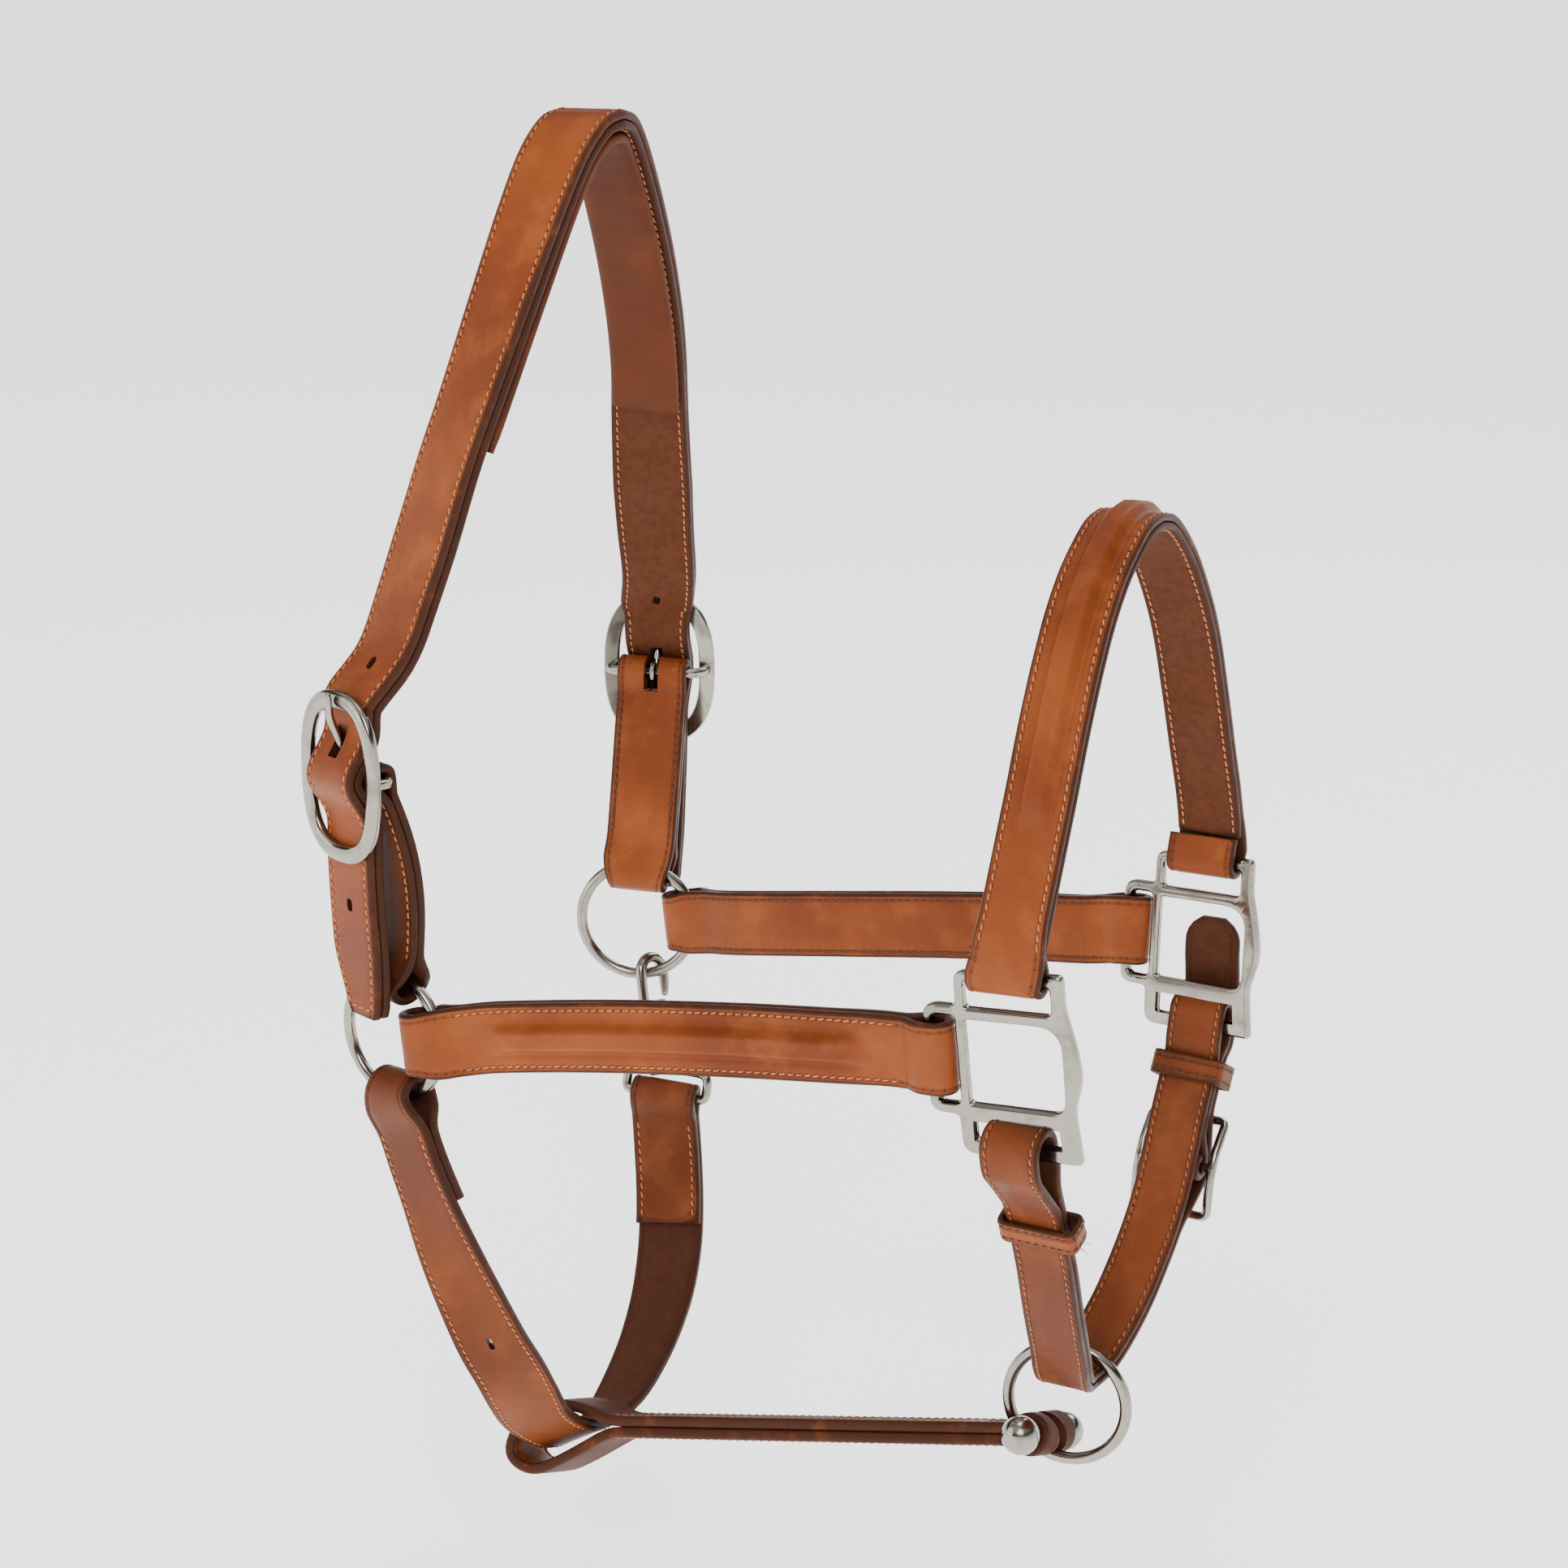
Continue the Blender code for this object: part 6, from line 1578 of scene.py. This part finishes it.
def leather(name, tan, light, deep, flesh, shine=0.36, marked=True):
    """Vegetable-tanned leather: pebbled grain, pulled colour, dark waxed edges and a rougher
    flesh side."""
    g = Nodes(name)
    broad = g.noise(14.0, 4.0, 0.55)
    cloud = g.noise(55.0, 3.0, 0.6)
    fine = g.noise(900.0, 3.0, 0.6)
    colour = g.mix(g.ramp(broad, 0.35, 0.68), deep, tan)
    colour = g.mix(g.maths("MULTIPLY", g.ramp(cloud, 0.45, 0.75), 0.5), colour, light)
    colour = g.mix(g.ramp(fine, 0.52, 0.8, 0.0, 0.30), colour, deep)
    scuff = g.ramp(g.noise(70.0, 5.0, 0.7, (0.35, 3.0, 3.0)), 0.64, 0.76, 0.0, 0.50)
    colour = g.mix(scuff, colour, light)
    rough = g.ramp(cloud, 0.3, 0.7, shine - 0.05, shine + 0.10)
    grain = g.cells(1150.0)
    pore = g.ramp(grain, 0.0, 0.16)
    height = g.maths("ADD", g.maths("MULTIPLY", pore, 0.5), g.maths("MULTIPLY", fine, 0.6))
    if marked:
        inset = g.attribute("inset")
        back = g.attribute("flesh")
        along = g.attribute("along")
        wander = g.maths("ADD", inset, g.ramp(cloud, 0.3, 0.7, -0.25, 0.25))
        fibre = g.mix(g.ramp(g.noise(320.0, 5.0, 0.7), 0.35, 0.7), flesh, EDGE_BROWN)
        colour = g.mix(g.ramp(back, 0.55, 0.95), colour, g.mix(0.45, flesh, fibre))
        shade = g.ramp(wander, 0.35, 1.9, 0.92, 0.0)
        worn = g.ramp(g.noise(120.0, 3.0, 0.6), 0.50, 0.72, 1.0, 0.72)
        colour = g.mix(g.maths("MULTIPLY", shade, worn), colour, EDGE_BROWN)
        # Darker along the stitch groove, darkest at each stitch hole: painted shade in the holes.
        line = g.ramp(g.maths("ABSOLUTE", g.maths("SUBTRACT", inset, 2.5)), 0.30, 1.05, 0.80, 0.0)
        beat = g.maths("ABSOLUTE", g.maths("SINE", g.maths("MULTIPLY", along, 0.96)))
        hole = g.ramp(beat, 0.0, 0.50, 1.0, 0.45)
        colour = g.mix(g.maths("MULTIPLY", line, hole), colour, EDGE_BROWN)
        rough = g.maths("ADD", rough, g.ramp(back, 0.5, 1.0, 0.0, 0.25))
    g.link(colour, g.shader.inputs["Base Color"])
    g.link(rough, g.shader.inputs["Roughness"])
    creases = g.noise(85.0, 4.0, 0.65, (1.0, 1.0, 2.4))
    normal = g.bump(creases, 0.32, 0.0006)
    normal = g.bump(height, 0.60, 0.00014, normal)
    g.link(normal, g.shader.inputs["Normal"])
    g.shader.inputs["Specular IOR Level"].default_value = 0.13
    return g.material


def thread_look(name, pale, dark):
    g = Nodes(name)
    twist = g.noise(1500.0, 2.0, 0.5)
    colour = g.mix(g.ramp(twist, 0.35, 0.65), dark, pale)
    colour = g.mix(g.ramp(g.noise(160.0, 2.0, 0.5), 0.45, 0.7, 0.0, 0.55), colour, dark)
    g.link(colour, g.shader.inputs["Base Color"])
    g.shader.inputs["Roughness"].default_value = 0.62
    g.link(g.bump(twist, 0.6, 0.0001), g.shader.inputs["Normal"])
    return g.material


def nickel_look(name):
    """Polished nickel plate with fine scratches and a few dull patches."""
    g = Nodes(name)
    dull = g.noise(95.0, 4.0, 0.6)
    scratch = g.noise(420.0, 4.0, 0.7, (1.0, 6.0, 0.5))
    rough = g.maths("ADD", g.ramp(dull, 0.4, 0.75, 0.13, 0.26), g.ramp(scratch, 0.55, 0.8, 0.0, 0.10))
    colour = g.mix(g.ramp(dull, 0.45, 0.75), (0.315, 0.290, 0.248), (0.205, 0.184, 0.152))
    g.link(colour, g.shader.inputs["Base Color"])
    g.link(rough, g.shader.inputs["Roughness"])
    g.shader.inputs["Metallic"].default_value = 1.0
    normal = g.bump(g.noise(60.0, 2.0, 0.5), 0.12, 0.0008)
    g.link(g.bump(scratch, 0.10, 0.00005, normal), g.shader.inputs["Normal"])
    return g.material


def make_looks():
    return {
        "leather": leather("tan_leather", TAN, TAN_LIGHT, TAN_DEEP, FLESH_BROWN),
        "lining": leather("lining_leather", (0.110, 0.026, 0.007), (0.145, 0.038, 0.011),
                          (0.075, 0.017, 0.005), (0.095, 0.026, 0.009), 0.46),
        "strap": leather("strap_leather", (0.178, 0.042, 0.010), (0.235, 0.064, 0.017),
                         (0.108, 0.024, 0.006), FLESH_BROWN, 0.42),
        "soft": leather("pad_leather", (0.092, 0.021, 0.0055), (0.122, 0.030, 0.009),
                        (0.060, 0.013, 0.0035), FLESH_BROWN, 0.48, False),
        "thread": thread_look("pale_thread", (0.62, 0.22, 0.065), (0.34, 0.095, 0.026)),
        "thread_mid": thread_look("tan_thread", (0.46, 0.145, 0.040), (0.18, 0.048, 0.014)),
        "thread_dark": thread_look("brown_thread", (0.12, 0.030, 0.010), (0.045, 0.012, 0.005)),
        "nickel": nickel_look("nickel_plate"),
    }


# ---- floor and light ----------------------------------------------------------------------
FLOOR_HALF = 220.0                      # m, so wide that its edge isn't seen
FLOOR_BELOW = 0.035                     # m from the headcollar's lowest point to the floor
LIGHTS = (                              # name, place, disk's diameter in m, and power in W
    ("key_light", (0.9, -1.9, 1.5), 1.3, 34.0),
    ("fill_light", (-1.6, -1.5, 0.6), 1.6, 14.0),
    ("rim_light", (0.3, 1.9, 1.2), 1.2, 16.0),
    ("top_light", (0.1, 0.1, 2.2), 1.2, 14.0),
)


def studio():
    """A pale floor, a sky that is dark at the horizon for the nickel, and four soft lights."""
    floor_look = bpy.data.materials.new("pale_floor")
    floor_look.use_nodes = True
    shader = floor_look.node_tree.nodes["Principled BSDF"]
    shader.inputs["Base Color"].default_value = (0.92, 0.92, 0.92, 1.0)
    shader.inputs["Roughness"].default_value = 0.9
    shader.inputs["Emission Color"].default_value = (1.0, 1.0, 1.0, 1.0)
    shader.inputs["Emission Strength"].default_value = 1.5
    low = CAD_BOX[0][2] - FLOOR_BELOW
    mesh = bpy.data.meshes.new("floor")
    r = FLOOR_HALF
    mesh.from_pydata([(-r, -r, low), (r, -r, low), (r, r, low), (-r, r, low)], [], [(0, 1, 2, 3)])
    mesh.materials.append(floor_look)
    floor = bpy.data.objects.new("floor", mesh)
    bpy.context.scene.collection.objects.link(floor)
    world = bpy.data.worlds.new("studio")
    bpy.context.scene.world = world
    world.use_nodes = True
    tree = world.node_tree
    back = tree.nodes["Background"]
    back.inputs["Strength"].default_value = 2.1
    split = tree.nodes.new("ShaderNodeSeparateXYZ")
    tree.links.new(tree.nodes.new("ShaderNodeTexCoord").outputs["Generated"], split.inputs[0])
    ramp = tree.nodes.new("ShaderNodeValToRGB")
    stops = ((0.0, 1.0), (0.20, 0.94), (0.30, 0.05), (0.52, 0.03), (0.66, 0.34), (1.0, 0.38))
    ramp.color_ramp.elements[0].position = stops[0][0]
    ramp.color_ramp.elements[1].position = stops[-1][0]
    for place, _ in stops[1:-1]:
        ramp.color_ramp.elements.new(place)
    for element, (place, grey) in zip(ramp.color_ramp.elements, stops):
        element.position = place
        element.color = (grey, grey, grey, 1.0)
    tree.links.new(split.outputs["Z"], ramp.inputs[0])
    tree.links.new(ramp.outputs["Color"], back.inputs["Color"])
    middle = Vector((0.08, 0.0, -0.22))
    for name, at, size, power in LIGHTS:
        light = bpy.data.objects.new(name, bpy.data.lights.new(name, "AREA"))
        light.data.shape = "DISK"
        light.data.size = size
        light.data.energy = power
        light.location = at
        light.rotation_euler = (middle - Vector(at)).to_track_quat("-Z", "Y").to_euler()
        bpy.context.scene.collection.objects.link(light)


def main():
    """Every piece in turn. The gate, its pin and its spring keep their CAD shapes."""
    looks = make_looks()
    crown(crown_spine(), looks)
    for side in SIDES:
        chape(side, looks)
        buckle_frame(side, looks)
        buckle_tongue(side, looks)
        side_ring(side, looks)
        cheek(side, looks)
        square(side, looks)
    noseband(nose_spine(), looks)
    chin_route = chin_spine()
    chin(chin_route, looks)
    chin_buckle(chin_route, looks)
    for name, a, low, high, width, shift in keeper_places(chin_route):
        keeper(name, chin_route, a, low, high, width, shift, looks)
    normal = level_axes(CHIN_RING_TURN)[1]
    torus("lead_ring", CHIN_RING, normal, CHIN_RING_R, looks["nickel"], "chin_ring")
    joining_strap(looks)
    chin_bolt(looks)
    throat_route = throat_spine()
    throat(throat_route, looks)
    snap(throat_route, looks)
    for node in ("snap_gate", "snap_gate_pin", "snap_spring"):
        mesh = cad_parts[node].data
        mesh.materials.clear()
        mesh.materials.append(looks["nickel"])
    studio()


main()
